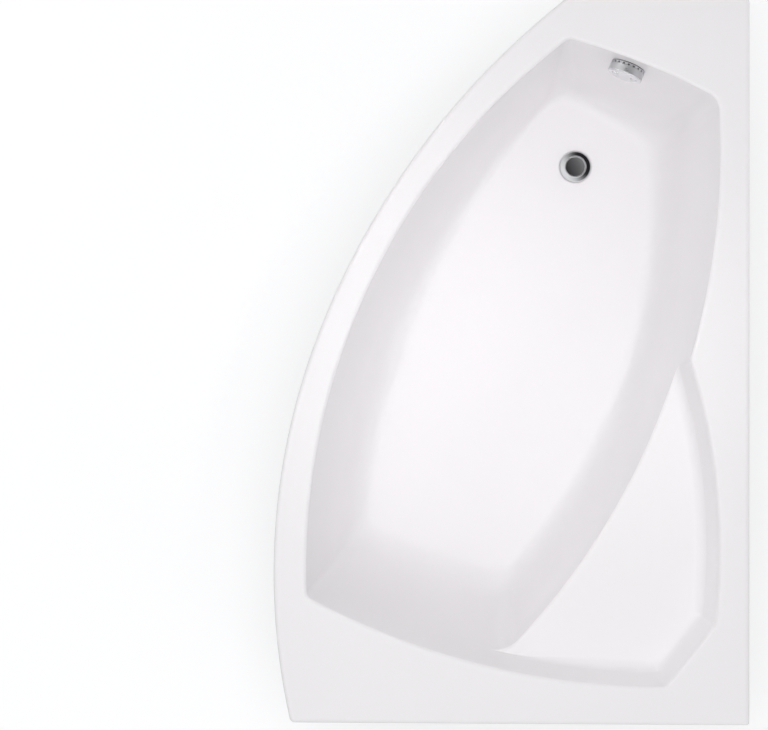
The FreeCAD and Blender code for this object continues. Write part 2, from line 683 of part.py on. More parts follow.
OVERFLOW, OVERFLOW_SIDE = drain_wall_spot(size("overflow_drop"))
WALL_LEVEL = UP.cross(OVERFLOW_SIDE.centre - Vector(OVERFLOW.x, OVERFLOW.y, 0)).normalize()
WALL_DOWN = drain_wall_spot(size("overflow_drop") + 1)[0] - OVERFLOW
INTO_BATH = WALL_LEVEL.cross(WALL_DOWN * -1).normalize()
HEAD_UP = INTO_BATH.cross(WALL_LEVEL).normalize()
HEAD_SPOT = Placement(OVERFLOW, Rotation(WALL_LEVEL, HEAD_UP, INTO_BATH, "ZXY"))
TAIL = HEAD_SPOT.multVec(Vector(0, 0, -size("tail_depth")))
TOWARDS_TAIL = Vector(TAIL.x - DRAIN.x, TAIL.y - DRAIN.y, 0)
HEADING = math.degrees(math.atan2(TOWARDS_TAIL.y, TOWARDS_TAIL.x))
WASTE_SPOT = Placement(DRAIN, Rotation(UP, HEADING))
TRAP_SPOT = Placement(DRAIN, Rotation())

# ---------------------------------------------------------------- tub
rim_top = size("rim_height")
rim_low = rim_top - size("skirt_drop")
rim_block = rim_prism(0, rim_low, rim_top, size("rim_edge_roll"))
rim_hollow = rim_prism(WALL, rim_low, rim_top - WALL, max(size("rim_edge_roll") - WALL, 1))
tub = rim_block.cut(rim_hollow).fuse([basin_solid(WALL), seat_solid(WALL)])
tub = tub.cut(basin_solid().fuse([seat_solid(), seat_front_roll()]))
drain_hole = Part.makeCylinder(size("drain_hole") / 2, 4 * BACKING, DRAIN - UP * 3 * BACKING)
drain_recess = Part.makeCylinder(size("drain_recess") / 2, BACKING,
                                 DRAIN - UP * size("drain_recess_depth"))
overflow_hole = Part.makeCylinder(size("overflow_hole") / 2, 4 * BACKING,
                                  OVERFLOW - INTO_BATH * 3 * BACKING, INTO_BATH)
overflow_flat = Part.makeCylinder(size("knob_size") / 2 + 1, BACKING, OVERFLOW, INTO_BATH)
tub = tub.cut([drain_hole, drain_recess, overflow_hole, overflow_flat])
POSTS = [FRONT_RUN * share / 3 for share in (1, 2)]
tab_screw_height = rim_top - (size("tab_top") + size("skirt_drop")) / 2
post_face = size("acrylic_wall") + size("ease")
tab_screw_start = post_face + size("post_sheet")


def tab_screw(run, diameter, start, end):
    return Part.makeCylinder(diameter / 2, start - end, front_spot(run, start, tab_screw_height),
                             front_normal(run))


screw_depth = WALL / 2
tub = tub.cut([tab_screw(run, size("wood_screw"), tab_screw_start, screw_depth) for run in POSTS])
shaped("bath_shell", tub.removeSplitter())

laminate = basin_solid(BACKING).fuse(seat_solid(BACKING)).cut([basin_solid(WALL), seat_solid(WALL)])
above = Part.makeBox(2 * size("bath_width"), 2 * size("bath_length"), WALL * 4,
                     Vector(-size("bath_width"), -size("bath_length"), rim_top - WALL))
shaped("laminate_skin", laminate.cut([above, drain_hole, overflow_hole]))

# ---------------------------------------------------------------- under-frame
board_top = FLOOR - BACKING
board_ring = basin_ring(size("inside_depth"), [-size("board_inset")] * 4, board_top)
board = Part.Face(board_ring).extrude(UP * -size("board_thick"))
board_low = board_top - size("board_thick")
waste_cutout = Part.makeCylinder(size("board_cutout") / 2, size("board_thick"),
                                 Vector(DRAIN.x, DRAIN.y, board_low))
BARS = (("drain_bar", HALF_LENGTH - size("drain_bar_end")),
        ("head_bar", size("head_bar_end") - HALF_LENGTH))
BAR_SCREWS = (0.12, 0.5, 0.88)


def bar_ends(name, y):
    """Where a channel starts, outside the basin's front wall, and where it ends by the long wall."""
    front = basin_plan(rim_top - board_low - size("spindle_over"))[0][0]
    wall = front.centre.x - math.sqrt(front.radius ** 2 - (y - front.centre.y) ** 2)
    return wall - size(name + "_clear") - size("foot_inset"), HALF_WIDTH - size(name + "_high")


screw_spots = []
for name, y in BARS:
    low, high = bar_ends(name, y)
    across_board = Part.makeBox(high - low, 1, size("board_thick"), Vector(low, y, board_low))
    reach = board.common(across_board).BoundBox
    for share in BAR_SCREWS:
        screw_spots.append(Vector(reach.XMin + reach.XLength * share, y, board_low))
screw_holes = [Part.makeCylinder(size("wood_screw") / 2, size("wood_screw_long"), spot)
               for spot in screw_spots]
shaped("base_board", board.cut([waste_cutout] + screw_holes))

FEET = []
bar_wide = size("bar_wide")
bar_tall = size("bar_tall")
bar_sheet = size("bar_sheet")
for name, y in BARS:
    low, high = bar_ends(name, y)
    corner = Vector(low, y - bar_wide / 2, board_low - bar_tall)
    channel = Part.makeBox(high - low, bar_wide, bar_tall, corner)
    inside = Part.makeBox(high - low, bar_wide - 2 * bar_sheet, bar_tall - bar_sheet,
                          corner + Vector(0, bar_sheet, 0))
    foot_spots = [Vector(low + size("foot_inset"), y, board_low),
                  Vector(high - size("foot_inset"), y, board_low)]
    FEET += foot_spots
    spindle_hole = size("spindle_size") / 2 + size("ease")
    holes = [Part.makeCylinder(spindle_hole, bar_sheet, spot - UP * bar_sheet) for spot in foot_spots]
    holes += [Part.makeCylinder(size("wood_screw") / 2, bar_sheet, spot - UP * bar_sheet)
              for spot in screw_spots if abs(spot.y - y) < 1]
    shaped("cross_" + name, channel.cut([inside] + holes))

board_screws = []
for spot in screw_spots:
    under_bar = spot - UP * bar_sheet
    head = Part.makeCone(size("wood_screw_head") / 2 - 1, size("wood_screw_head") / 2, size("wood_screw_cap"),
                         under_bar - UP * size("wood_screw_cap"))
    shank = Part.makeCylinder(size("wood_screw") / 2, size("wood_screw_long") + bar_sheet, under_bar)
    board_screws.append(head.fuse(shank))
shaped("board_screws", Part.makeCompound(board_screws))

nuts = []
for number, spot in enumerate(FEET, 1):
    fixed_nut = nut(f"fixed_nut_{number}", "nut_flat", "nut_tall", "spindle_size + 2 * slip")
    fixed_nut.Placement = Placement(spot - UP * (bar_sheet + size("nut_tall")), Rotation())
    nuts.append(fixed_nut)
    under = Placement(Vector(spot.x, spot.y, 0), Rotation())
    pad = turned(f"foot_pad_{number}", (
        ("0", "0"), ("foot_size / 2", "0"), ("foot_size / 2", "foot_rim"),
        ("foot_size / 2 - foot_rim", "foot_rim + 3"),
        ("foot_top / 2 + 3", "foot_tall * 0.55"), ("foot_top / 2", "foot_tall"),
        ("spindle_size / 2 + slip", "foot_tall"), ("spindle_size / 2 + slip", "spindle_low"),
        ("0", "spindle_low")))
    subpart(f"foot_pad_{number}", pad, under)
    spindle_tall = "rim_height - inside_depth - acrylic_wall - laminate_wall - board_thick + spindle_over"
    spindle = turned(f"foot_spindle_{number}", (
        ("0", "spindle_low"), ("spindle_size / 2", "spindle_low"), ("spindle_size / 2", spindle_tall + " - 1"),
        ("spindle_size / 2 - 1", spindle_tall), ("0", spindle_tall)))
    subpart(f"foot_spindle_{number}", spindle, under)
    lock = nut(f"foot_locknut_{number}", "nut_flat", "nut_tall", "spindle_size")
    as_left = Rotation(UP, 11 * number)
    subpart(f"foot_locknut_{number}", lock, Placement(under.Base + UP * size("foot_tall"), as_left))
frame_nuts = doc.addObject("Part::Compound", "frame_nuts")
frame_nuts.Links = nuts
subpart("frame_nuts", frame_nuts)

# ---------------------------------------------------------------- apron
strip_top = rim_low - size("ease")
strip_low = strip_top - size("strip_sheet")
leg_low = strip_low - size("strip_tall")
strip_face = size("panel_setback")
panel_face = strip_face + size("strip_sheet")
panel_back = panel_face + size("panel_sheet")
stops = [size("panel_end")] + POSTS + [FRONT_RUN - size("panel_end")]
for number, (start, end) in enumerate(zip(stops, stops[1:]), 1):
    start += size("panel_gap") / 2 if number > 1 else 0
    end -= size("panel_gap") / 2 if number < 3 else 0
    shaped(f"apron_panel_{number}",
           front_slab(start, end, panel_face, panel_back, size("panel_lift"), strip_low))
    strip = front_slab(start, end, strip_face, panel_back, strip_low, strip_top)
    leg = front_slab(start, end, strip_face, panel_face, leg_low, strip_low)
    notches = []
    for step in range(int((end - start) / size("notch_pitch"))):
        run = start + size("notch_pitch") * (step + 0.5)
        half = size("notch_wide") / 2
        way = front_normal(run)
        along = UP.cross(way)
        peak = front_spot(run, panel_face, strip_low) - way * size("notch_peak")
        drop = UP * (size("strip_tall") + 1)
        spots = [peak, peak - drop + along * 2 * half, peak - drop, peak]
        notches.append(Part.Face(Part.makePolygon(spots)).extrude(way * (size("strip_sheet") + 2)))
    shaped(f"notched_strip_{number}", strip.fuse(leg.cut(notches)).removeSplitter())

tab_screws = []
strap_top = rim_low - size("post_short")
screw_back = tab_screw_start + size("wood_screw_cap")
for number, run in enumerate(POSTS, 1):
    half = size("post_wide") / 2
    tab = size("tab_wide") / 2
    strap = front_slab(run - half, run + half, post_face, tab_screw_start, size("panel_lift"), strap_top)
    hanger = front_slab(run - tab, run + tab, post_face, tab_screw_start, strap_top, rim_top - size("tab_top"))
    hole = tab_screw(run, size("wood_screw"), tab_screw_start, screw_depth)
    shaped(f"joining_strip_{number}", strap.fuse(hanger).removeSplitter().cut(hole))
    tab_screws.append(hole.fuse(tab_screw(run, size("wood_screw_head"), screw_back, tab_screw_start)))
shaped("tab_screws", Part.makeCompound(tab_screws))

# ---------------------------------------------------------------- waste outlet in the basin floor
recess = "drain_recess_depth"
lip_low = "(seal - drain_recess_depth)"
lip_top = "(seal - drain_recess_depth + lip)"
gasket = turned("flange_gasket", (("drain_hole / 2", f"-{recess}"), ("flange_size / 2 - 1", f"-{recess}"),
                                  ("flange_size / 2 - 1", lip_low), ("drain_hole / 2", lip_low)))
subpart("flange_gasket", gasket, TRAP_SPOT)

flange_ring = turned("flange_ring", (
    ("neck_bore / 2", f"{lip_low} - neck_drop"), ("neck_size / 2", f"{lip_low} - neck_drop"),
    ("neck_size / 2", lip_low), ("flange_size / 2", lip_low), ("flange_size / 2", f"{lip_low} + 1"),
    ("flange_size / 2 - 2", lip_top), ("plug_size / 2 - 2", lip_top), ("neck_bore / 2", f"{lip_low} + 0.5")))
hub_low = f"({lip_low} - hub_drop)"
hub = cylinder("flange_hub", "2 * stem_size", "hub_tall", z=hub_low)
spokes = [box(f"flange_spoke_{i}", "neck_bore / 2 + 1", "spoke_wide", "spoke_tall",
              x=f"spoke_wide / 2 * {math.sin(math.tau * i / 3):.5f}",
              y=f"-spoke_wide / 2 * {math.cos(math.tau * i / 3):.5f}",
              z=hub_low, turn=(UP, 120 * i)) for i in range(3)]
guide = cylinder("flange_guide", "stem_size + 2 * slip", "hub_tall + 2", z=f"{hub_low} - 1")
subpart("waste_flange", cut("flange_cut", fused("flange_all", flange_ring, hub, *spokes), guide), TRAP_SPOT)

cap_low = f"({lip_top} + plug_lift)"
cap_top = f"({lip_top} + plug_rise)"
boss_low = f"({cap_low} - plug_boss)"
boss_edge = "(stem_size / 2 + plug_boss)"
cap = turned("plug_cap", (
    ("0", boss_low), (boss_edge, boss_low), (boss_edge, cap_low),
    ("plug_size / 2 - 1", cap_low), ("plug_size / 2", f"{cap_low} + 1"), ("plug_size / 2", f"{cap_top} - 2"),
    ("plug_size / 2 - 2", cap_top), ("plug_dish / 2 + 1", cap_top), ("plug_dish / 2 - 1", f"{cap_top} - 1"),
    ("0", f"{cap_top} - 2")))
subpart("plug_cap", cap, TRAP_SPOT)
seal_low = f"({cap_low} - 3.5)"
plug_seal = turned("plug_seal", ((boss_edge, seal_low), ("neck_bore / 2 - ease", seal_low),
                                 ("neck_bore / 2 - ease", f"{cap_low} - 1"), ("neck_bore / 2 + 1", cap_low),
                                 (boss_edge, cap_low)))
subpart("plug_seal", plug_seal, TRAP_SPOT)
stem = turned("plug_stem", (("0", "-stem_drop"), ("stem_size / 2", "-stem_drop"),
                            ("stem_size / 2", boss_low), ("0", boss_low)))
subpart("plug_stem", stem, TRAP_SPOT)

backing = "(acrylic_wall + laminate_wall)"
waste_gasket = turned("waste_gasket", (
    ("drain_hole / 2", f"-{backing} - thick_seal"), ("flange_size / 2", f"-{backing} - thick_seal"),
    ("flange_size / 2", f"-{backing}"), ("drain_hole / 2", f"-{backing}")))
subpart("waste_gasket", waste_gasket, TRAP_SPOT)

body_top = f"(-{backing} - thick_seal)"
body_ring = turned("waste_body_ring", (
    ("0", "-body_drop - spigot_drop"), ("spigot_size / 2", "-body_drop - spigot_drop"),
    ("spigot_size / 2", "-body_drop"), ("body_size / 2", "-body_drop"),
    ("body_size / 2", f"{body_top} - body_flange - 3"), ("flange_size / 2", f"{body_top} - body_flange"),
    ("flange_size / 2", body_top), ("0", body_top)))
housing = box("lever_housing", "housing_reach - 15", "housing_width", "housing_foot - housing_top", x="15",
              y="-housing_width / 2", z="-housing_foot")
cable_side = box("cable_side", "gland_flat + 4", "cable_aside - housing_width / 2 + gland_flat / 2",
                 "gland_flat + 2", x="housing_reach - gland_flat - 4", y="housing_width / 2 - 1",
                 z="-cable_drop - gland_flat / 2 - 1")
LEVEL = Rotation(Vector(0, 1, 0), 90)
along_x = (Vector(0, 1, 0), 90)
inlet = cylinder("inlet_spigot", "inlet_size", "inlet_reach - 20", x="20", z="-inlet_drop", turn=along_x)
wedge = extruded("cover_wedge", (
    ("housing_reach - 1", "-housing_top - 1"), ("housing_reach - 1", "-housing_top"),
    ("housing_reach - 1 - cover_length", "cover_rise - housing_top"),
    ("housing_reach - 1 - cover_length", "-housing_top - 1")), "cover_width", plane="XZ_Plane")
place(wedge, y="cover_width / 2")
bore_change = f"({body_top} - neck_drop + neck_free)"
upper_bore = cylinder("body_upper_bore", "neck_size", "neck_drop + 2", z=bore_change)
main_bore = cylinder("body_main_bore", "body_size - 2 * body_wall", f"body_drop - body_wall + {bore_change}",
                     z="-body_drop + body_wall")
lower_bore = cylinder("body_lower_bore", "spigot_bore", "spigot_drop + body_wall + 2",
                      z="-body_drop - spigot_drop - 1")
inlet_way = cylinder("body_inlet_way", "inlet_bore", "inlet_reach + 1", z="-inlet_drop", turn=along_x)
across_y = (Vector(1, 0, 0), 90)
pivot_way = cylinder("body_pivot_way", "pivot_size + 2 * slip", "housing_width - 4", x="lever_reach",
                     y="housing_width / 2 - 2", z="-inlet_drop", turn=across_y)
cable_way = cylinder("body_cable_way", "cable_size", "16", x="housing_reach - 12", y="cable_aside",
                     z="-cable_drop", turn=along_x)
waste_block = fused("waste_body_all", body_ring, housing, cable_side, inlet, wedge)
waste_body = cut("waste_body_cut", waste_block, upper_bore, main_bore, lower_bore, inlet_way, pivot_way,
                 cable_way)
subpart("waste_body", waste_body, WASTE_SPOT)

cover_slope = math.degrees(math.atan2(size("cover_rise"), size("cover_length")))
cover = box("cover_plate", "cover_length", "cover_width", "cover_sheet", y="-cover_width / 2")
cover_boss = cylinder("cover_boss", "4 * cover_sheet", "2 * cover_sheet", x="cover_length / 2")
cover_top = Vector(size("housing_reach") - 1 - size("cover_length"), 0,
                   size("cover_rise") - size("housing_top"))
cover_spot = WASTE_SPOT.multiply(Placement(cover_top, Rotation(Vector(0, 1, 0), cover_slope)))
subpart("mechanism_cover", fused("cover_all", cover, cover_boss), cover_spot)

eye_edge = "pivot_size / 2 + lever_eye"
eye = turned("lever_eye_ring", (
    ("pivot_size / 2", "-lever_wide / 2"), (eye_edge, "-lever_wide / 2"), (eye_edge, "lever_wide / 2"),
    ("pivot_size / 2", "lever_wide / 2")))
eye.Placement = Placement(Vector(), Rotation(Vector(1, 0, 0), 90))
arm = box("lever_arm", "lever_reach - lever_eye", "lever_wide", "lever_thick", x="-lever_reach",
          y="-lever_wide / 2", z="-lever_thick")
lever_spot = WASTE_SPOT.multiply(Placement(Vector(size("lever_reach"), 0, -size("inlet_drop")), Rotation()))
subpart("lift_lever", fused("lift_lever_all", eye, arm), lever_spot)
pin_end = "(housing_width / 2 - 3)"
pivot = turned("lift_pivot_pin", (("0", f"-{pin_end}"), ("pivot_size / 2", f"-{pin_end}"),
                                  ("pivot_size / 2", pin_end), ("0", pin_end)))
subpart("lift_pivot_pin", pivot, lever_spot.multiply(Placement(Vector(), Rotation(Vector(1, 0, 0), 90))))

GRIPS = 12
grip_ring = []
for i in range(2 * GRIPS):
    turn = math.pi * i / GRIPS
    share = 1 if i % 2 else 0.95
    grip_ring.append((f"union_size / 2 * {share * math.cos(turn):.5f}",
                      f"union_size / 2 * {share * math.sin(turn):.5f}"))
union_ring = extruded("union_ring", grip_ring, "union_long")
union_bore = cylinder("union_bore", "inlet_size", "union_long - 3", z="-1")
union_eye = cylinder("union_eye", "low_cuff_size", "union_long + 2", z="-1")
union_start = Vector(size("inlet_reach") - size("union_long") + 4, 0, -size("inlet_drop"))
subpart("union_nut", cut("union_cut", union_ring, union_bore, union_eye),
        WASTE_SPOT.multiply(Placement(union_start, LEVEL)))

# ---------------------------------------------------------------- overflow head
head_gasket = turned("head_gasket", (("overflow_hole / 2", "0"), ("face_size / 2 - 0.5", "0"),
                                     ("face_size / 2 - 0.5", "head_seal"), ("overflow_hole / 2", "head_seal")))
subpart("overflow_gasket", head_gasket, HEAD_SPOT)
disc_top = "(head_seal + face_disc)"
face_top = "(head_seal + face_deep)"
face = turned("face_ring", (
    ("shaft_size / 2 + slip", "head_seal"), ("face_size / 2", "head_seal"), ("face_size / 2", face_top),
    ("face_size / 2 - face_wall", face_top), ("face_size / 2 - face_wall", disc_top),
    ("shaft_size / 2 + slip", disc_top)))
SLOTS = int(size("face_slots"))
slot_start = "(face_size / 2 - face_wall - 2)"
face_slots = []
for i in range(SLOTS):
    along = math.cos(math.tau * i / SLOTS)
    across = math.sin(math.tau * i / SLOTS)
    face_slots.append(box(f"face_slot_{i}", "face_wall + 5", "slot_wide", "face_deep - face_disc - 0.5",
                          x=f"{slot_start} * {along:.5f} + slot_wide / 2 * {across:.5f}",
                          y=f"{slot_start} * {across:.5f} - slot_wide / 2 * {along:.5f}",
                          z=disc_top, turn=(UP, 360 * i / SLOTS)))
face_holes = [cylinder(f"face_hole_{way}", "screw_size", "2 * face_disc", x=f"{way} * screw_place",
                       z="head_seal - 1") for way in (-1, 1)]
subpart("overflow_ring", cut("face_cut", face, *face_slots, *face_holes), HEAD_SPOT)

knob_low = "(head_seal + face_deep + knob_gap)"
knob_top = f"({knob_low} + knob_deep)"
knob_inside = f"({knob_top} - knob_wall - finger_deep)"
shaft_top = f"({knob_low} + shaft_grip)"
knob = turned("knob_turned", (
    ("shaft_size / 2", knob_low), ("shaft_size / 2 + knob_wall", knob_low),
    ("shaft_size / 2 + knob_wall", knob_inside), ("knob_size / 2 - knob_wall", knob_inside),
    ("knob_size / 2 - knob_wall", knob_low), ("knob_size / 2", knob_low), ("knob_size / 2", f"{knob_top} - 3"),
    ("knob_size / 2 - 3", knob_top), ("0", knob_top), ("0", shaft_top), ("shaft_size / 2", shaft_top)))
fingers = [cylinder(f"finger_{way}", "finger_size", "finger_deep + 1", x=f"{way} * finger_place",
                    z=f"{knob_top} - finger_deep") for way in (-1, 1)]
subpart("overflow_knob", cut("knob_cut", knob, *fingers), HEAD_SPOT)
shaft = turned("knob_shaft", (("0", "-shaft_drop"), ("shaft_size / 2", "-shaft_drop"),
                              ("shaft_size / 2", shaft_top), ("0", shaft_top)))
subpart("knob_shaft", shaft, HEAD_SPOT)
crank = cut("crank_cut", cylinder("crank_disc", "crank_size", "crank_thick", z="-tail_depth - crank_thick / 2"),
            cylinder("crank_bore", "shaft_size", "2 * crank_thick", z="-tail_depth - crank_thick"))
subpart("cable_crank", crank, HEAD_SPOT)

rear_low = f"(-{backing} - thick_seal)"
rear_edge = "(face_size / 2 - 1.5)"
rear_gasket = turned("rear_gasket", (
    ("overflow_hole / 2", rear_low), (rear_edge, rear_low), (rear_edge, f"{rear_low} + thick_seal * 0.4"),
    (f"{rear_edge} - thick_seal / 2", f"{rear_low} + thick_seal * 0.5"),
    (rear_edge, f"{rear_low} + thick_seal * 0.6"), (rear_edge, f"-{backing}"),
    ("overflow_hole / 2", f"-{backing}")))
subpart("rear_gasket", rear_gasket, HEAD_SPOT)
rear_foot = f"({rear_low} - body_flange)"
shaft_way = "(shaft_size / 2 + slip)"
inside_edge = "(back_size / 2 - body_flange)"
inside_end = "(-back_drop + body_flange)"
back_shell = turned("back_shell", (
    (shaft_way, "-shaft_drop - 1"), ("0", "-shaft_drop - 1"), ("0", "-dome_drop"),
    ("dome_size / 2 - 5", "-dome_drop"), ("dome_size / 2", "-dome_drop + 5"),
    ("dome_size / 2", "-back_drop - 1"), ("back_size / 2 - 2", "-back_drop"), ("back_size / 2", "-back_drop + 2"), ("back_size / 2", rear_foot),
    (rear_edge, rear_foot), (rear_edge, rear_low), (inside_edge, rear_low), (inside_edge, inside_end),
    (shaft_way, inside_end)))
post_long = f"back_drop - post_start + {rear_low} - 1.5"
posts = [cylinder(f"screw_post_{way}", "screw_size + 2 * post_wall", post_long, x=f"{way} * screw_place",
                  z="-back_drop + post_start") for way in (-1, 1)]
post_holes = [cylinder(f"post_hole_{way}", "screw_size", "back_drop - 2 * post_start",
                       x=f"{way} * screw_place", z="-back_drop + 2 * post_start") for way in (-1, 1)]
HEADING_WAY = TOWARDS_TAIL.normalize()
ASIDE = UP.cross(HEADING_WAY)
CABLE_TOP = TAIL + ASIDE * size("cable_aside")


def upright(name, diameter, height, top):
    """A cylinder that hangs straight down below a point of the bath, for the tilted overflow body."""
    item = doc.addObject("Part::Cylinder", name)
    bind(item, Radius=f"({diameter}) / 2", Height=height)
    doc.recompute()
    item.Placement = HEAD_SPOT.inverse().multiply(Placement(top - UP * item.Height.Value, Rotation()))
    return item


flank = UP * (size("back_size") / 2)
tail = upright("tail_spigot", "tail_size", "tail_drop - back_size / 2 + 3", TAIL - flank + UP * 3)
tail_way = upright("tail_way", "tail_bore", "tail_drop - back_size / 2 + 10", TAIL - flank + UP * 8)
gland_boss = upright("gland_boss", "gland_flat - 4", "gland_start", CABLE_TOP)
overflow_body = cut("overflow_body_cut", fused("overflow_body_all", back_shell, *posts, tail, gland_boss),
                    tail_way, *post_holes)
subpart("overflow_body", overflow_body, HEAD_SPOT)


face_screws = []
for way in (-1, 1):
    shank = cylinder(f"screw_shank_{way}", "screw_size", f"back_drop - 8 + {disc_top}",
                     x=f"{way} * screw_place", z="8 - back_drop")
    head = cylinder(f"screw_head_{way}", "screw_size * 1.8", "screw_size / 2", x=f"{way} * screw_place",
                    z=disc_top)
    face_screws.append(fused(f"face_screw_{way}", shank, head))
screw_pair = doc.addObject("Part::Compound", "overflow_screws")
screw_pair.Links = face_screws
subpart("overflow_screws", screw_pair, HEAD_SPOT)

# ---------------------------------------------------------------- hose and cable between them


class Route:
    """Straight down, one wide bend, then level towards the drain."""

    def __init__(self, top, low_end, bend):
        flat = Vector(low_end.x - top.x, low_end.y - top.y, 0)
        self.way = Vector(flat).normalize()
        self.across = self.way.cross(UP)
        self.bend = bend
        self.top = top
        self.fall = top.z - low_end.z - bend
        self.level = flat.Length - bend
        self.turn = bend * math.pi / 2
        self.length = self.fall + self.turn + self.level
        self.centre = top - UP * self.fall + self.way * bend

    def at(self, run):
        """Point and direction at a distance along the route."""
        if run <= self.fall:
            return self.top - UP * run, UP * -1
        if run <= self.fall + self.turn:
            angle = (run - self.fall) / self.bend
            out = self.way * -math.cos(angle) - UP * math.sin(angle)
            return self.centre + out * self.bend, self.way * math.sin(angle) - UP * math.cos(angle)
        rest = run - self.fall - self.turn
        return self.centre - UP * self.bend + self.way * rest, self.way

    def circle(self, run, radius):
        spot, along = self.at(run)
        circle = Part.Circle(spot, along, radius)
        circle.XAxis = self.across
        return Part.Wire([circle.toShape()])

    def tube(self, radius, beyond=0.0):
        """A plain round tube along the whole route, straight runs joined by one tangent arc."""
        stops = [-beyond, self.fall, self.fall + self.turn, self.length + beyond]
        spots = [self.at(run)[0] for run in stops]
        middle = self.at(self.fall + self.turn / 2)[0]
        bend = Part.Arc(spots[1], middle, spots[2]).toShape()
        path = Part.Wire([Part.makeLine(spots[0], spots[1]), bend, Part.makeLine(spots[2], spots[3])])
        return path.makePipeShell([self.circle(-beyond, radius)], True, False)


HOSE = Route(TAIL - UP * size("hose_start"),
             DRAIN + HEADING_WAY * size("inlet_reach") - UP * size("inlet_drop"), size("hose_bend"))
sections = [(0, "top_cuff_size"), (size("top_cuff"), "top_cuff_size"), (size("top_cuff") + 2, "top_neck_size"),
            (size("top_cuff") + size("top_neck"), "top_neck_size")]
ribs_start = size("top_cuff") + size("top_neck")
ribs_end = HOSE.length - size("low_cuff")
rib_count = int((ribs_end - ribs_start) / size("rib_pitch"))
pitch = (ribs_end - ribs_start) / rib_count
RIB_FORM = ((0.05, "hose_root"), (0.35, "hose_root"), (0.5, "hose_crest"), (0.9, "hose_crest"))
for rib in range(rib_count):
    sections += [(ribs_start + (rib + share) * pitch, alias) for share, alias in RIB_FORM]
sections += [(ribs_end + 0.5, "low_cuff_size"), (HOSE.length, "low_cuff_size")]
hose_skin = Part.makeLoft([HOSE.circle(run, size(alias) / 2) for run, alias in sections], True, True)
hose = hose_skin.cut(HOSE.tube(size("hose_bore") / 2, 1))
shaped("overflow_hose", hose)

CABLE = Route(CABLE_TOP - UP * (size("gland_start") + size("gland_long") / 2),
              DRAIN + HEADING_WAY * (size("housing_reach") - 10) + ASIDE * size("cable_aside")
              - UP * size("cable_drop"), size("cable_bend"))
cable = CABLE.tube(size("cable_size") / 2)
shaped("bowden_cable", cable)
print("hose", round(HOSE.length, 1), "bend", HOSE.bend, "ribs", rib_count, "volume", round(hose.Volume),
      "plain tube", round(HOSE.tube(size("hose_crest") / 2).Volume))
print("cable", round(CABLE.length, 1), "bend", CABLE.bend, "volume", round(cable.Volume),
      "section x length", round(math.pi * size("cable_size") ** 2 / 4 * CABLE.length))

gland_spot = Placement(CABLE_TOP - UP * (size("gland_start") + size("gland_long")), Rotation())
subpart("cable_gland_nut", nut("cable_gland_nut", "gland_flat", "gland_long", "cable_size"), gland_spot)
sleeve = turned("cable_sleeve", (("cable_size / 2", "-sleeve_long"), ("sleeve_size / 2 - 1.5", "-sleeve_long"),
                                 ("sleeve_size / 2", "0"), ("cable_size / 2", "0")))
subpart("cable_sleeve", sleeve, gland_spot)
low_gland = turned("low_gland", (
    ("cable_size / 2", "0"), ("gland_flat / 2 - 1", "0"), ("gland_flat / 2 - 1", "gland_long * 0.6"),
    ("sleeve_size / 2", "gland_long * 0.8"), ("sleeve_size / 2 - 1", "sleeve_long"),
    ("cable_size / 2", "sleeve_long")))
low_gland_spot = Placement(Vector(size("housing_reach"), size("cable_aside"), -size("cable_drop")), LEVEL)
subpart("lower_cable_gland", low_gland, WASTE_SPOT.multiply(low_gland_spot))

# ---------------------------------------------------------------- trap and outlet
spigot_end = "(-body_drop - spigot_drop)"
nut_top = "(-body_drop - trap_nut_free)"
trap_nut = turned("trap_nut", (
    ("spigot_size / 2", nut_top), ("trap_nut_size / 2", nut_top),
    ("trap_nut_size / 2", "-body_drop - trap_nut_long + 9"),
    ("trap_nut_size / 2 - 5", "-body_drop - trap_nut_long"),
    ("trap_neck / 2 + ease", "-body_drop - trap_nut_long"), ("trap_neck / 2 + ease", spigot_end),
    ("spigot_size / 2", spigot_end)))
subpart("trap_nut", trap_nut, TRAP_SPOT)


def stadium(name, width, low, tall):
    """A flat-sided cup form: two round ends joined by straight sides."""
    near = cylinder(name + "_near", width, tall, z=low)
    far = cylinder(name + "_far", width, tall, x="trap_reach", z=low)
    return fused(name, near, far, box(name + "_mid", "trap_reach", width, tall, y=f"-({width}) / 2", z=low))


cup = stadium("cup", "trap_width", "-trap_foot", "trap_foot - trap_top")
cup_room = stadium("cup_room", "trap_width - 2 * trap_wall", "-trap_foot - 1",
                   "trap_foot - trap_top - trap_wall + 1")
dip = cylinder("dip_tube", "trap_neck", "trap_top + dip_deep - body_drop - spigot_drop - 1",
               z="-trap_top - dip_deep")
dip_way = cylinder("dip_way", "trap_neck - 2 * trap_wall", "3 * dip_deep", z="-trap_top - dip_deep - 1")
socket = cylinder("outlet_socket", "socket_size", "socket_tall", x="trap_reach", z="-trap_top - 1")
socket_rim = cylinder("socket_rim", "socket_size + trap_wall", "collar_long - 1", x="trap_reach",
                      z="-trap_top + socket_tall - collar_long")
socket_way = cylinder("socket_way", "pipe_size + 2 * ease", "3 * socket_tall", x="trap_reach",
                      z="-trap_top - trap_wall - 1")
hollow_cup = cut("trap_hollow", cup, cup_room)
trap = cut("trap_cut", fused("trap_all", hollow_cup, dip, socket, socket_rim), dip_way, socket_way)
subpart("trap_body", trap, TRAP_SPOT)
lid_plate = stadium("lid_plate", "trap_width + 2 * lid_lip", "-trap_foot - trap_wall", "lid_tall")
lid = cut("lid_cut", lid_plate, stadium("lid_room", "trap_width", "-trap_foot", "lid_tall"))
subpart("trap_lid", lid, TRAP_SPOT)


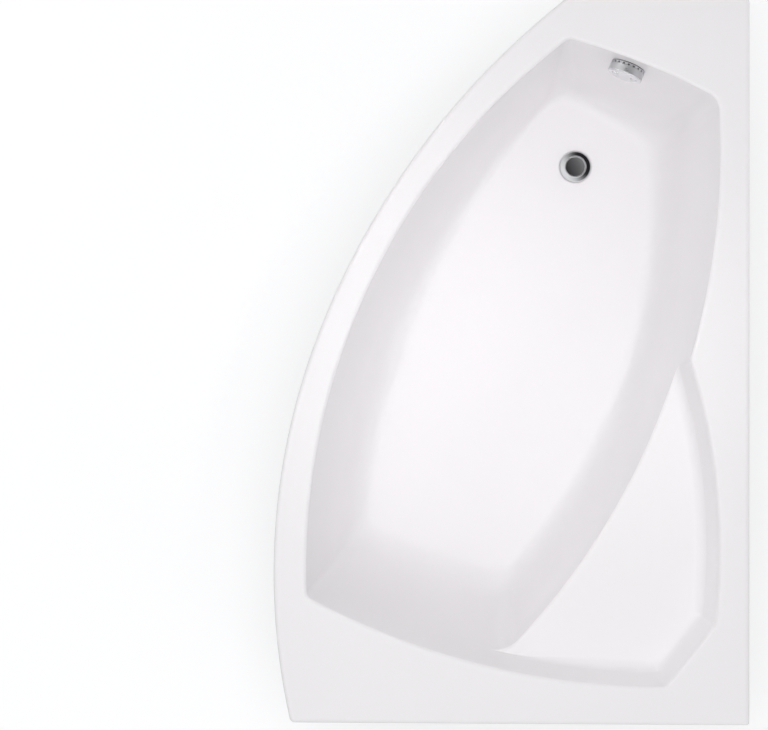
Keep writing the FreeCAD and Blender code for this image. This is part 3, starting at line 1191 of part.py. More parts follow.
def elbow_solid(radius, beyond):
    """Upright leg, quarter bend, level pipe."""
    reach = size("trap_reach")
    bend = size("elbow_bend")
    high = -size("outlet_drop")
    spots = [Vector(reach, 0, size("pipe_start") - size("trap_top") - beyond), Vector(reach, 0, high - bend),
             Vector(reach + bend, 0, high), Vector(reach + bend + size("pipe_long") + beyond, 0, high)]
    middle = Vector(reach + bend - bend * math.cos(math.pi / 4), 0, high - bend + bend * math.sin(math.pi / 4))
    path = Part.Wire([Part.makeLine(spots[0], spots[1]), Part.Arc(spots[1], middle, spots[2]).toShape(),
                      Part.makeLine(spots[2], spots[3])])
    start = Part.Wire([Part.Circle(spots[0], UP, radius).toShape()])
    return path.makePipeShell([start], True, False)


elbow_item = doc.addObject("Part::Feature", "outlet_elbow")
pipe_radius = size("pipe_size") / 2
elbow_item.Shape = elbow_solid(pipe_radius, 0).cut(elbow_solid(pipe_radius - size("pipe_wall"), 1))
subpart("outlet_elbow", elbow_item, TRAP_SPOT)
sleeve_end = "(sleeve_lap + sleeve_reach)"
outlet = turned("outlet_sleeve", (
    ("pipe_size / 2", "0"), ("collar_size / 2", "0"), ("collar_size / 2", "collar_long"),
    ("sleeve_outer / 2", "collar_long + 1"), ("sleeve_outer / 2", sleeve_end),
    ("sleeve_outer / 2 - 3", sleeve_end),
    ("sleeve_outer / 2 - 3", "sleeve_lap + 3"), ("pipe_size / 2", "sleeve_lap")))
OUTLET_START = size("trap_reach") + size("elbow_bend") + size("pipe_long") - size("sleeve_lap")
subpart("outlet_sleeve", outlet,
        TRAP_SPOT.multiply(Placement(Vector(OUTLET_START, 0, -size("outlet_drop")), LEVEL)))

# ---------------------------------------------------------------- check and write
doc.recompute()
broken = [item.Name for item in doc.Objects if "Invalid" in item.State or "Error" in item.State]
if broken:
    raise RuntimeError(f"failed features: {broken}")
for item in SUBPARTS:
    if item.Shape.isNull() or not item.Shape.isValid() or not item.Shape.Solids:
        raise RuntimeError(f"bad shape: {item.Label}")
for item in SUBPARTS:
    item.Shape.exportStep(f"parts/{item.Label}.step")
print(len(SUBPARTS), "pieces written")
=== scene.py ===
import math

import bmesh
import bpy
from mathutils import Matrix, Vector
from mathutils.geometry import tessellate_polygon


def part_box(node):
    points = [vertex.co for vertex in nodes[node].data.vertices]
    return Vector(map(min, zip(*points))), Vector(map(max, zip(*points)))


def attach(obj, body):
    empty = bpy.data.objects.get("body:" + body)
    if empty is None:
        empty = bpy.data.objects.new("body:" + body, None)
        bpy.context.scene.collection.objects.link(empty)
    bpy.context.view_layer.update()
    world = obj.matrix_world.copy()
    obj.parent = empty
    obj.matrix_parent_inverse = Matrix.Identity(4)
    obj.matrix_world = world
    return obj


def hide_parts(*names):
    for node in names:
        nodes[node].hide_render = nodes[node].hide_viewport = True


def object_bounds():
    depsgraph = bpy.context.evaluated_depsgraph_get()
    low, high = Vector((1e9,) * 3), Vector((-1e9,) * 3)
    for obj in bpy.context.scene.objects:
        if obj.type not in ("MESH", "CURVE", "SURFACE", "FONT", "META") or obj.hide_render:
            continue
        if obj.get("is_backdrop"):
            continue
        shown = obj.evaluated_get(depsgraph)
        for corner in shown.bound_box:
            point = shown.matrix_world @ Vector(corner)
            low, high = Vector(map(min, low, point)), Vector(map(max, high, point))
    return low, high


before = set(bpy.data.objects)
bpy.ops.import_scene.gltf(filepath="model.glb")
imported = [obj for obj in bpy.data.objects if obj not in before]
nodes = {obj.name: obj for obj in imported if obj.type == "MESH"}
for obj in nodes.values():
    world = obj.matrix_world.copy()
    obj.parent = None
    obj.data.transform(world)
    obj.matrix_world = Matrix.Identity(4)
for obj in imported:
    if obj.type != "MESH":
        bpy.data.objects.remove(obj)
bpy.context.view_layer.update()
MM = 0.001

# ---- The room: a plain pale floor under soft lamps, seen from straight above the bath, as in a catalogue
# plan. The floor and the world show white to the eye and in reflections; the lamps only light them plainly.
scene = bpy.context.scene
scene.view_settings.view_transform = "Standard"


def linear(code):
    """A colour written as sRGB hex, as linear light."""
    parts = [int(code[i:i + 2], 16) / 255 for i in (0, 2, 4)]
    return tuple(c / 12.92 if c <= 0.04045 else ((c + 0.055) / 1.055) ** 2.4 for c in parts) + (1.0,)


def add_node(tree, kind, inputs=None, **settings):
    """Adds a node; inputs maps a socket's name or number to a value or to another node's output."""
    made = tree.nodes.new(kind)
    for key, value in settings.items():
        setattr(made, key, value)
    for key, value in (inputs or {}).items():
        if isinstance(value, bpy.types.NodeSocket):
            tree.links.new(value, made.inputs[key])
        else:
            made.inputs[key].default_value = value
    return made


def new_material(name):
    """A material with an empty node tree."""
    material = bpy.data.materials.new(name)
    material.use_nodes = True
    material.node_tree.nodes.clear()
    return material, material.node_tree


def seen_directly(tree):
    """1 for what the camera, a mirror or glass sees, 0 for light that a surface gathers."""
    path = add_node(tree, "ShaderNodeLightPath")
    both = add_node(tree, "ShaderNodeMath",
                    {0: path.outputs["Is Camera Ray"], 1: path.outputs["Is Glossy Ray"]}, operation="MAXIMUM")
    return add_node(tree, "ShaderNodeMath", {0: both.outputs[0], 1: path.outputs["Is Transmission Ray"]},
                    operation="MAXIMUM").outputs[0]


WORLD_LIGHT = 0.49                                      # what the white world adds to the lamps' light
DARK_WAY = Vector((0.42, 0.26, 0.87)).normalized()      # the unlit side of the studio, which chrome mirrors
DARK_CORE, DARK_EDGE = math.radians(20), math.radians(44)
world = bpy.data.worlds.new("studio")
scene.world = world
world.use_nodes = True
tree = world.node_tree
tree.nodes.clear()
gathered = add_node(tree, "ShaderNodeBackground", {"Color": linear("FFFFFF"), "Strength": WORLD_LIGHT})
direction = add_node(tree, "ShaderNodeTexCoord").outputs["Generated"]
towards_dark = add_node(tree, "ShaderNodeVectorMath", {0: direction, 1: DARK_WAY}, operation="DOT_PRODUCT")
dark = add_node(tree, "ShaderNodeMapRange",
                {"Value": towards_dark.outputs["Value"], "From Min": math.cos(DARK_EDGE),
                 "From Max": math.cos(DARK_CORE)}, interpolation_type="SMOOTHSTEP")
studio = add_node(tree, "ShaderNodeMix", {"Factor": dark.outputs["Result"], 6: linear("FFFFFF"),
                                          7: linear("2C2A2C")}, data_type="RGBA")
shown = add_node(tree, "ShaderNodeBackground", {"Color": studio.outputs[2], "Strength": 1.0})
either = add_node(tree, "ShaderNodeMixShader",
                  {0: seen_directly(tree), 1: gathered.outputs[0], 2: shown.outputs[0]})
add_node(tree, "ShaderNodeOutputWorld", {"Surface": either.outputs[0]})

FLOOR_HALF = 30.0
floor_mesh = bpy.data.meshes.new("floor")
floor_mesh.from_pydata([(x * FLOOR_HALF, y * FLOOR_HALF, 0) for x, y in ((-1, -1), (1, -1), (1, 1), (-1, 1))],
                       [], [(0, 1, 2, 3)])
floor = bpy.data.objects.new("floor", floor_mesh)
scene.collection.objects.link(floor)
# Pale matt paper: it takes the bath's soft shadow, and its own glow lifts it to nearly white for the eye.
PAPER_GLOW = 0.61
paper, tree = new_material("pale_paper_floor")
matt = add_node(tree, "ShaderNodeBsdfDiffuse", {"Color": linear("BABBBD")})
glow = add_node(tree, "ShaderNodeEmission", {"Color": linear("FFFFFF")})
lift = add_node(tree, "ShaderNodeMath", {0: seen_directly(tree), 1: PAPER_GLOW}, operation="MULTIPLY")
tree.links.new(lift.outputs[0], glow.inputs["Strength"])
both = add_node(tree, "ShaderNodeAddShader", {0: matt.outputs[0], 1: glow.outputs[0]})
add_node(tree, "ShaderNodeOutputMaterial", {"Surface": both.outputs[0]})
floor_mesh.materials.append(paper)
floor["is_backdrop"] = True


def soft_lamp(name, spot, aim, width, power, mirrored, spread=math.pi):
    """A round lamp the camera can't see; mirrored says if polished pieces show it."""
    light = bpy.data.lights.new(name, "AREA")
    light.shape = "DISK"
    light.spread = spread
    light.size = width
    light.energy = power
    lamp = bpy.data.objects.new(name, light)
    lamp.location = spot
    lamp.rotation_euler = (Vector(aim) - Vector(spot)).to_track_quat("-Z", "Y").to_euler()
    lamp.visible_camera = False
    lamp.visible_glossy = mirrored
    scene.collection.objects.link(lamp)


soft_lamp("overhead_lamp", (-0.1, -0.1, 5.0), (0, 0, 0.3), 1.8, 66, False)
soft_lamp("basin_lamp", (1.3, 0.3, 4.6), (-0.14, 0.05, 0.25), 0.5, 0.29, False, math.radians(17))
soft_lamp("window_lamp", (-4.2, 2.0, 3.4), (0, 0, 0.4), 2.4, 26, True)
soft_lamp("far_lamp", (3.6, -3.4, 4.2), (0, 0, 0.4), 2.0, 8, True)
soft_lamp("low_wall_lamp", (3.2, 2.0, 0.35), (0.1, 0, 0.35), 0.5, 15, False)
soft_lamp("low_end_lamp", (0.6, -3.6, 0.35), (0.1, 0, 0.35), 0.5, 10, False)

PICTURE_WIDTH = 1.6166        # how much of the rim's level the picture takes in, across
camera_spot = Vector((0, 0, 6.2))
camera_aim = Vector((-0.266, -0.010, 0.6))      # the middle of the picture, level with the rim
camera_data = bpy.data.cameras.new("camera")
camera_data.lens = camera_data.sensor_width * (camera_aim - camera_spot).length / PICTURE_WIDTH
camera_data.clip_end = 200
camera = bpy.data.objects.new("camera", camera_data)
back = (camera_spot - camera_aim).normalized()
right = Vector((0, 1, 0)).cross(back).normalized()
turned = Matrix((right, back.cross(right), back)).transposed().to_4x4()
camera.matrix_world = Matrix.Translation(camera_spot) @ turned
scene.collection.objects.link(camera)
scene.camera = camera

# ---- The tub: one sheet of 5 mm sanitary acrylic, drawn down hot by vacuum into a mould, so every edge is
# rolled and every wall leans outwards. The seat is a shelf 115 mm down; the rim turns down 42 mm all round.
LENGTH, WIDTH, RIM, DEEP = 1.530, 1.000, 0.600, 0.420
SHEET = 5 * MM
ROLL = 6 * MM                 # rolled edge of the basin and of the seat's front
RIM_ROLL = 9 * MM             # rolled outer edge of the rim
SKIRT = 42 * MM
SEAT_DEEP, SEAT_DRAFT, SEAT_FILLET, SEAT_ROUND = 115 * MM, 25 * MM, 20 * MM, 9 * MM
SEAT_BOW, SEAT_FOOT_BOW = 37 * MM, 1 * MM       # how far the seat's long side and its foot bow outwards
NOSE = 11 * MM                # plan radius of the rim where the basin and the seat part
DRAFT_SHARE = 0.45            # share of the walls' lean that is straight
NARROW_TIP, WIDE_TIP, DRAIN_CORNER, HEAD_CORNER = 6 * MM, 12 * MM, 18 * MM, 7 * MM      # rim corners in plan
DRAIN = Vector((WIDTH / 2 - 0.354, LENGTH / 2 - 0.329))
RECESS, DRAIN_HOLE = 37.5 * MM, 25 * MM


class Side:
    """One side of a rounded outline: part of a circle whose centre lies inside the outline."""

    def __init__(self, centre, radius):
        self.centre = centre
        self.radius = radius

    def grown(self, amount):
        return Side(self.centre, self.radius + amount)

    def meets(self, other, near):
        across = other.centre - self.centre
        far = across.length
        along = (far ** 2 + self.radius ** 2 - other.radius ** 2) / (2 * far)
        aside = math.sqrt(max(self.radius ** 2 - along ** 2, 0))
        across.normalize()
        normal = Vector((-across.y, across.x))
        return min((self.centre + across * along + normal * aside * way for way in (1, -1)),
                   key=lambda spot: (spot - near).length)

    def nearest(self, spot):
        return self.centre + (spot - self.centre).normalized() * self.radius

    def walk(self, start, end, count):
        """count points from start up to, but not at, end along the shorter arc."""
        a = start - self.centre
        turn = a.angle_signed(end - self.centre)
        return [self.centre + Matrix.Rotation(-turn * i / count, 2) @ a for i in range(count)]


def bowed(start, end, bow):
    """The side from start to end whose middle stands out by the bow."""
    half = (end - start) / 2
    radius = (half.length_squared + bow ** 2) / (2 * bow)
    return Side(start + half + Vector((half.y, -half.x)).normalized() * (radius - bow), radius)


def rounding(before, after, near, radius):
    """Where a corner's rounding leaves one side and joins the next, and its circle. A negative radius
    rounds a corner that points into the outline."""
    sharp = before.meets(after, near)
    centre = before.grown(-radius).meets(after.grown(-radius), sharp)
    return before.nearest(centre), after.nearest(centre), Side(centre, abs(radius))


def from_walls(inwards, wide_end=None, drain_end=None):
    """A plan point from its distance to the long wall and to one end, in millimetres."""
    y = wide_end * MM - LENGTH / 2 if drain_end is None else LENGTH / 2 - drain_end * MM
    return Vector((WIDTH / 2 - inwards * MM, y))


# the front of the rim: a wide arc that runs on without a kink into a narrower end
WIDE_CURVE = Side(Vector((0.9, -0.45)), 1.4)
CHANGE = WIDE_CURVE.nearest(Vector((-0.40767, 0.05)))
NARROW_RADIUS = 1.65
NARROW_CURVE = Side(CHANGE + (WIDE_CURVE.centre - CHANGE).normalized() * NARROW_RADIUS, NARROW_RADIUS)

# each corner at the rim and at the floor, its rounding at both, and the bow of the side that leads to it
BASIN = (("drain_front", from_walls(378, drain_end=89), from_walls(394, drain_end=172), 20, 60, 160, 80),
         ("drain_back", from_walls(64, drain_end=217), from_walls(209, drain_end=290), 42, 45, 10, 8),
         ("head_back", from_walls(509, 113), from_walls(516, 308), 60, 60, 138, 104),
         ("head_front", from_walls(930, 266), from_walls(815, 415), 18, 45, 16, 10))


def lean(depth):
    """Share of a wall's inward lean reached at a depth: a straight draft that runs out in a wide fillet."""
    share = min(depth / DEEP, 1)
    return DRAFT_SHARE * share + (1 - DRAFT_SHARE) * (1 - (1 - share ** 3) ** (1 / 3))


def basin_at(depth):
    """Sides, corners and corner radii of the basin at a depth: front, drain end, back, backrest."""
    part = lean(depth)
    share = min(depth / DEEP, 1)
    corners = [rim.lerp(floor, part) for name, rim, floor, *rest in BASIN]
    rounds = [(high + (low - high) * share) * MM for name, rim, floor, high, low, *bows in BASIN]
    bows = [(high + (low - high) * part) * MM for *rest, high, low in BASIN]
    return [bowed(corners[i - 1], corners[i], bows[i]) for i in range(4)], corners, rounds


# points along each stretch of an outline, in the order front, drain end, back, seat, backrest
FRONT, END, BACK, HEAD, CORNER = 96, 44, 56, 46, 12
SEAT_SIDE, SEAT_FOOT, SEAT_HEAD = 64, 20, 40
NOSE_STEPS, SEAT_STEPS = 8, 8
FADE_END, FADE_LONG = 5, 24   # points with no fillet left where the seat ends, and points over which it fades
SEAT_RUN = NOSE_STEPS + SEAT_SIDE + SEAT_STEPS + SEAT_FOOT + SEAT_STEPS + SEAT_HEAD
SEAT_TOP, SEAT_CORNER = from_walls(145, 825), from_walls(71, 212)
SEAT_END = from_walls(182, 71)
BEFORE_SEAT = FRONT + CORNER + END + CORNER + BACK


def smooth_step(value):
    value = min(max(value, 0.0), 1.0)
    return value * value * (3 - 2 * value)


def open_outline(depth, flare=0.0, draft=0.0, fillet=0.0):
    """The hollow's outline down to the seat, basin and seat together. The fillet over the seat fades out
    along the backrest towards the point where the two part."""
    sides, corners, rounds = basin_at(depth)
    front, end, back, head = [side.grown(flare) for side in sides]
    side = bowed(SEAT_TOP, SEAT_CORNER, SEAT_BOW).grown(flare - draft - fillet)
    foot = bowed(SEAT_CORNER, SEAT_END, SEAT_FOOT_BOW).grown(flare - draft - fillet)
    over_seat = head.grown(-fillet)
    first = rounding(front, end, corners[0], rounds[0] + flare)
    second = rounding(end, back, corners[1], rounds[1] + flare)
    nose = rounding(back, side, SEAT_TOP, flare - NOSE)
    seat_round = SEAT_ROUND + flare + 1.5 * fillet
    third = rounding(side, foot, SEAT_CORNER, seat_round)
    fourth = rounding(foot, over_seat, SEAT_END, seat_round)
    last = rounding(head, front, corners[3], rounds[3] + flare)
    parting = rounding(back, head, corners[2], rounds[2] + flare)[1]
    points = front.walk(last[1], first[0], FRONT) + first[2].walk(first[0], first[1], CORNER)
    points += end.walk(first[1], second[0], END) + second[2].walk(second[0], second[1], CORNER)
    points += back.walk(second[1], nose[0], BACK) + nose[2].walk(nose[0], nose[1], NOSE_STEPS)
    points += side.walk(nose[1], third[0], SEAT_SIDE) + third[2].walk(third[0], third[1], SEAT_STEPS)
    points += foot.walk(third[1], fourth[0], SEAT_FOOT) + fourth[2].walk(fourth[0], fourth[1], SEAT_STEPS)
    for i, spot in enumerate(over_seat.walk(fourth[1], over_seat.nearest(parting), SEAT_HEAD)):
        faded = 1 - smooth_step((SEAT_HEAD - FADE_END - i) / FADE_LONG)
        points.append(spot + (spot - head.centre).normalized() * fillet * faded)
    points += head.walk(parting, last[0], HEAD)
    return points + last[2].walk(last[0], last[1], CORNER)


def shares(points):
    """How far along its own line each point lies, from 0 to 1."""
    runs = [0.0]
    for a, b in zip(points, points[1:]):
        runs.append(runs[-1] + (b - a).length)
    return [run / runs[-1] for run in runs]


upper_seat = open_outline(SEAT_DEEP, 0, SEAT_DRAFT, SEAT_FILLET)
SEAT_SHARES = shares(upper_seat[BEFORE_SEAT:BEFORE_SEAT + SEAT_RUN + 1])


def basin_outline(depth, flare=0.0):
    """The basin's outline below the seat, with its points matched to those of the seat's front. flare widens
    it along the seat's front only."""
    sides, corners, rounds = basin_at(depth)
    front, end, back, head = sides
    first = rounding(front, end, corners[0], rounds[0])
    second = rounding(end, back, corners[1], rounds[1])
    third = rounding(back, head, corners[2], rounds[2])
    last = rounding(head, front, corners[3], rounds[3])
    seat_side = bowed(SEAT_TOP, SEAT_CORNER, SEAT_BOW).grown(-SEAT_DRAFT - SEAT_FILLET)
    part = rounding(back, seat_side, SEAT_TOP, -NOSE)[0]
    points = front.walk(last[1], first[0], FRONT) + first[2].walk(first[0], first[1], CORNER)
    points += end.walk(first[1], second[0], END) + second[2].walk(second[0], second[1], CORNER)
    points += back.walk(second[1], part, BACK)
    fine = back.walk(part, third[0], 400) + third[2].walk(third[0], third[1], 60) + [third[1]]
    along = shares(fine)
    step = 0
    for share in SEAT_SHARES[:-1]:
        while along[step + 1] < share:
            step += 1
        between = (share - along[step]) / (along[step + 1] - along[step])
        spot = fine[step].lerp(fine[step + 1], between)
        if flare:
            after = fine[min(step + 6, len(fine) - 1)] - fine[max(step - 6, 0)]
            weight = smooth_step(share / 0.06) * smooth_step((1 - share) / 0.06)
            spot = spot + Vector((-after.y, after.x)).normalized() * flare * weight
        points.append(spot)
    points += head.walk(third[1], last[0], HEAD)
    return points + last[2].walk(last[0], last[1], CORNER)


def rim_outline(inset):
    """The rim's outer outline: the front curve in two arcs, the drain end, the long wall, the wide end."""
    wide, narrow = WIDE_CURVE.grown(-inset), NARROW_CURVE.grown(-inset)

    def front_corner(curve, end, radius):
        """The rounding between the front curve and a straight end: its circle and where it meets the two."""
        radius = max(radius - inset, MM)
        y = end * (LENGTH / 2 - inset - radius)
        reach = math.sqrt((curve.radius - radius) ** 2 - (y - curve.centre.y) ** 2)
        middle = Vector((curve.centre.x - reach, y))
        return Side(middle, radius), curve.nearest(middle), middle + Vector((0, end * radius))

    def wall_corner(end, radius):
        """The rounding between a straight end and the long wall."""
        radius = max(radius - inset, MM)
        middle = Vector((WIDTH / 2 - inset - radius, end * (LENGTH / 2 - inset - radius)))
        return Side(middle, radius), middle + Vector((0, end * radius)), middle + Vector((radius, 0))

    narrow_turn, on_narrow, on_drain_end = front_corner(narrow, 1, NARROW_TIP)
    wide_turn, on_wide, on_wide_end = front_corner(wide, -1, WIDE_TIP)
    drain_turn, drain_first, wall_first = wall_corner(1, DRAIN_CORNER)
    head_turn, head_last, wall_last = wall_corner(-1, HEAD_CORNER)
    change = wide.nearest(CHANGE)
    points = wide.walk(on_wide, change, 70) + narrow.walk(change, on_narrow, 80)
    points += narrow_turn.walk(on_narrow, on_drain_end, 6) + [on_drain_end]
    points += drain_turn.walk(drain_first, wall_first, 8) + [wall_first]
    points += head_turn.walk(wall_last, head_last, 6) + [head_last]
    return points + wide_turn.walk(on_wide_end, on_wide, 6)


def add_rows(mesh, rows, closed=True):
    """Adds rows of points joined by quads; returns the rows' vertices. The rows run clockwise from above."""
    made = [[mesh.verts.new(spot) for spot in row] for row in rows]
    for above, below in zip(made, made[1:]):
        count = len(above)
        for i in range(count if closed else count - 1):
            j = (i + 1) % count
            mesh.faces.new((above[i], below[i], below[j], above[j]))
    return made


def at_height(points, z):
    return [Vector((p.x, p.y, z)) for p in points]


def quarter(steps):
    """Angles over a quarter turn."""
    return [math.pi / 2 * i / steps for i in range(steps + 1)]


def hollow_rows(mesh):
    """The inside: rolled edge, walls, seat, basin, floor and drain recess. Returns its top row."""
    rows = [at_height(open_outline(0, ROLL + 0.5 * MM), RIM)]
    for turn in quarter(6)[:-1]:
        rows.append(at_height(open_outline(ROLL * (1 - math.cos(turn)), ROLL * (1 - math.sin(turn))),
                              RIM - ROLL * (1 - math.cos(turn))))
    wall_end = SEAT_DEEP - SEAT_FILLET
    for i in range(9):
        depth = ROLL + (wall_end - ROLL) * i / 8
        rows.append(at_height(open_outline(depth, 0, SEAT_DRAFT * depth / SEAT_DEEP), RIM - depth))
    for turn in quarter(6)[1:]:
        depth = SEAT_DEEP - SEAT_FILLET * (1 - math.sin(turn))
        fillet = SEAT_FILLET * (1 - math.cos(turn))
        rows.append(at_height(open_outline(depth, 0, SEAT_DRAFT * depth / SEAT_DEEP, fillet), RIM - depth))
    upper = add_rows(mesh, rows)
    seat_level = RIM - SEAT_DEEP
    seat_part = slice(BEFORE_SEAT, BEFORE_SEAT + SEAT_RUN + 1)
    front_edge = at_height(basin_outline(SEAT_DEEP, ROLL), seat_level)[seat_part]
    front_edge = [mesh.verts.new(spot) for spot in front_edge]
    shelf = upper[-1][seat_part] + front_edge[::-1]
    for corners in tessellate_polygon([[v.co for v in shelf]]):
        mesh.faces.new([shelf[i] for i in corners])
    rows = []
    for turn in quarter(6):
        depth = SEAT_DEEP + ROLL * (1 - math.cos(turn))
        rows.append(at_height(basin_outline(depth, ROLL * (1 - math.sin(turn))), RIM - depth))
    start = (SEAT_DEEP + ROLL) / DEEP
    for i in range(1, 41):      # the rows crowd together in the fillet to the floor
        depth = DEEP * (1 - (1 - start) * (1 - i / 40) ** 2.4)
        rows.append(at_height(basin_outline(depth), RIM - depth))
    bottom = rows[-1]
    centre = Vector((DRAIN.x, DRAIN.y, RIM - DEEP))
    spokes = [(spot - centre).normalized() for spot in bottom]
    for share in (0.03, 0.08, 0.15, 0.24, 0.34, 0.45, 0.56, 0.67, 0.78, 0.88, 0.95, 0.985, 1.0):
        rows.append([spot.lerp(centre + way * RECESS, share) for spot, way in zip(bottom, spokes)])
    for radius, drop in ((RECESS - 0.3 * MM, 0.4), (RECESS - 0.5 * MM, 2), (DRAIN_HOLE + MM, 2),
                         (DRAIN_HOLE, 2.6), (DRAIN_HOLE, 4.5)):
        rows.append([centre + way * radius - Vector((0, 0, drop * MM)) for way in spokes])
    add_rows(mesh, rows)
    return upper[0]


def tub_surface():
    """The hollow, the flat rim and its turned-down edge, as one surface without thickness."""
    mesh = bmesh.new()
    inner = hollow_rows(mesh)
    rows = [at_height(rim_outline(0), RIM - drop) for drop in (SKIRT, SKIRT - 2 * MM, SKIRT / 2, RIM_ROLL)]
    rows += [at_height(rim_outline(RIM_ROLL * (1 - math.cos(turn))), RIM - RIM_ROLL * (1 - math.sin(turn)))
             for turn in quarter(6)[1:]]
    rows.append(at_height(rim_outline(RIM_ROLL + 2 * MM), RIM))
    outer = add_rows(mesh, rows)[-1]
    ring = outer + inner
    for corners in tessellate_polygon([[v.co for v in outer], [v.co for v in inner]]):
        mesh.faces.new([ring[i] for i in corners])
    bmesh.ops.remove_doubles(mesh, verts=mesh.verts, dist=2e-5)
    bmesh.ops.dissolve_degenerate(mesh, edges=mesh.edges, dist=1e-6)
    bmesh.ops.recalc_face_normals(mesh, faces=mesh.faces)
    if sum(face.normal.z * face.calc_area() for face in mesh.faces) < 0:
        bmesh.ops.reverse_faces(mesh, faces=mesh.faces)
    return mesh


def finished(name, mesh, material, sharp=math.radians(40)):
    """Turns a bmesh into a shown piece with one material, smooth but for its sharp edges."""
    data = bpy.data.meshes.new(name)
    mesh.to_mesh(data)
    mesh.free()
    data.shade_smooth()
    data.set_sharp_from_angle(angle=sharp)
    data.materials.append(material)
    piece = bpy.data.objects.new(name, data)
    scene.collection.objects.link(piece)
    return piece


def applied(piece, kind, **settings):
    """Adds a modifier, applies it to the mesh and leaves none on the piece."""
    modifier = piece.modifiers.new(kind, kind)
    for key, value in settings.items():
        setattr(modifier, key, value)
    graph = bpy.context.evaluated_depsgraph_get()
    data = bpy.data.meshes.new_from_object(piece.evaluated_get(graph))
    piece.modifiers.clear()
    old = piece.data
    piece.data = data
    bpy.data.meshes.remove(old)
    return piece


# Cast acrylic: very smooth and glassy on a white ground, with the faintest waviness from the vacuum forming.
acrylic, tree = new_material("white_cast_acrylic")
spot = add_node(tree, "ShaderNodeTexCoord").outputs["Object"]
wave = add_node(tree, "ShaderNodeTexNoise", {"Vector": spot, "Scale": 1 / (90 * MM), "Detail": 1.0})
bump = add_node(tree, "ShaderNodeBump",
                {"Height": wave.outputs["Fac"], "Strength": 0.12, "Distance": 0.4 * MM})
tone = add_node(tree, "ShaderNodeTexNoise", {"Vector": spot, "Scale": 1 / (260 * MM), "Detail": 2.0})
tint = add_node(tree, "ShaderNodeMix", {"Factor": tone.outputs["Fac"], 6: linear("FAF8FA"),
                                        7: linear("FCFAFC")}, data_type="RGBA")
gloss = add_node(tree, "ShaderNodeBsdfPrincipled",
                 {"Base Color": tint.outputs[2], "Roughness": 0.24, "IOR": 1.49, "Specular IOR Level": 0.35,
                  "Normal": bump.outputs["Normal"]})
add_node(tree, "ShaderNodeOutputMaterial", {"Surface": gloss.outputs[0]})

tub = finished("acrylic_tub", tub_surface(), acrylic)
applied(tub, "SOLIDIFY", thickness=SHEET, offset=-1)
tub.data.set_sharp_from_angle(angle=math.radians(50))
applied(tub, "WEIGHTED_NORMAL", keep_sharp=True)
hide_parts("bath_shell")
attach(tub, "tub")

# ---- The waste: a bevelled chrome-plated brass plug over a chrome flange, lifted by its stem from below. A
# rubber ring under the plug seals it; the flange is screwed down onto a rubber ring in the tub's recess.


def lathe(mesh, profile, steps, place=Matrix.Identity(4), shape=None):
    """Turns a profile of (radius, height) pairs round Z; a radius of 0 closes that end with a fan.
    shape moves each point, and place puts the result where it belongs."""
    rings = []
    for radius, height in profile:
        if radius < 1e-7:
            rings.append([mesh.verts.new(place @ Vector((0, 0, height)))])
            continue
        ring = []
        for i in range(steps):
            turn = math.tau * i / steps
            spot = Vector((radius * math.cos(turn), radius * math.sin(turn), height))
            ring.append(mesh.verts.new(place @ (shape(spot) if shape else spot)))
        rings.append(ring)
    for below, above in zip(rings, rings[1:]):
        for i in range(steps):
            j = (i + 1) % steps
            corners = [ring[k % len(ring)] for ring, k in ((below, i), (below, j), (above, j), (above, i))]
            mesh.faces.new(list(dict.fromkeys(corners)))
    return rings


def turned_piece(name, profile, material, steps=96, place=Matrix.Identity(4), shape=None):
    mesh = bmesh.new()
    lathe(mesh, profile, steps, place, shape)
    bmesh.ops.recalc_face_normals(mesh, faces=mesh.faces)
    return finished(name, mesh, material, math.radians(28))


def dress(node, material, bevel=0.0):
    """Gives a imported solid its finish, with its edges broken as they are on the real piece."""
    piece = nodes[node]
    piece.data.materials.clear()
    piece.data.materials.append(material)
    if bevel:
        broken = piece.modifiers.new("broken_edges", "BEVEL")
        broken.width = bevel
        broken.segments = 2
        broken.limit_method = "ANGLE"
        broken.angle_limit = math.radians(35)
        broken.harden_normals = True
        piece.data.shade_smooth()
        piece.data.set_sharp_from_angle(angle=math.radians(35))


def metal(name, colour, rough, scratch_size, scratch_depth):
    """A metal with fine marks that vary its gloss and its surface."""
    material, tree = new_material(name)
    spot = add_node(tree, "ShaderNodeTexCoord").outputs["Object"]
    marks = add_node(tree, "ShaderNodeTexNoise", {"Vector": spot, "Scale": 1 / scratch_size, "Detail": 4.0})
    gloss = add_node(tree, "ShaderNodeMapRange", {"Value": marks.outputs["Fac"], "To Min": rough * 0.8,
                                                  "To Max": rough * 1.25})
    bump = add_node(tree, "ShaderNodeBump", {"Height": marks.outputs["Fac"], "Strength": 0.3,
                                             "Distance": scratch_depth})
    shine = add_node(tree, "ShaderNodeBsdfPrincipled",
                     {"Base Color": linear(colour), "Metallic": 1.0, "Roughness": gloss.outputs["Result"],
                      "Normal": bump.outputs["Normal"]})
    add_node(tree, "ShaderNodeOutputMaterial", {"Surface": shine.outputs[0]})
    return material


def moulded(name, colour, rough, grain_size, grain_depth):
    """A moulded plastic or rubber: one colour, a fine grain from the mould."""
    material, tree = new_material(name)
    spot = add_node(tree, "ShaderNodeTexCoord").outputs["Object"]
    grain = add_node(tree, "ShaderNodeTexNoise", {"Vector": spot, "Scale": 1 / grain_size, "Detail": 3.0})
    bump = add_node(tree, "ShaderNodeBump", {"Height": grain.outputs["Fac"], "Strength": 0.5,
                                             "Distance": grain_depth})
    body = add_node(tree, "ShaderNodeBsdfPrincipled",
                    {"Base Color": linear(colour), "Roughness": rough, "Normal": bump.outputs["Normal"]})
    add_node(tree, "ShaderNodeOutputMaterial", {"Surface": body.outputs[0]})
    return material


# Chrome plate on polished brass: a near mirror, with marks too fine to see but for a slight softness.
chrome = metal("polished_chrome_plate", "D9DADC", 0.06, 3 * MM, 0.002 * MM)
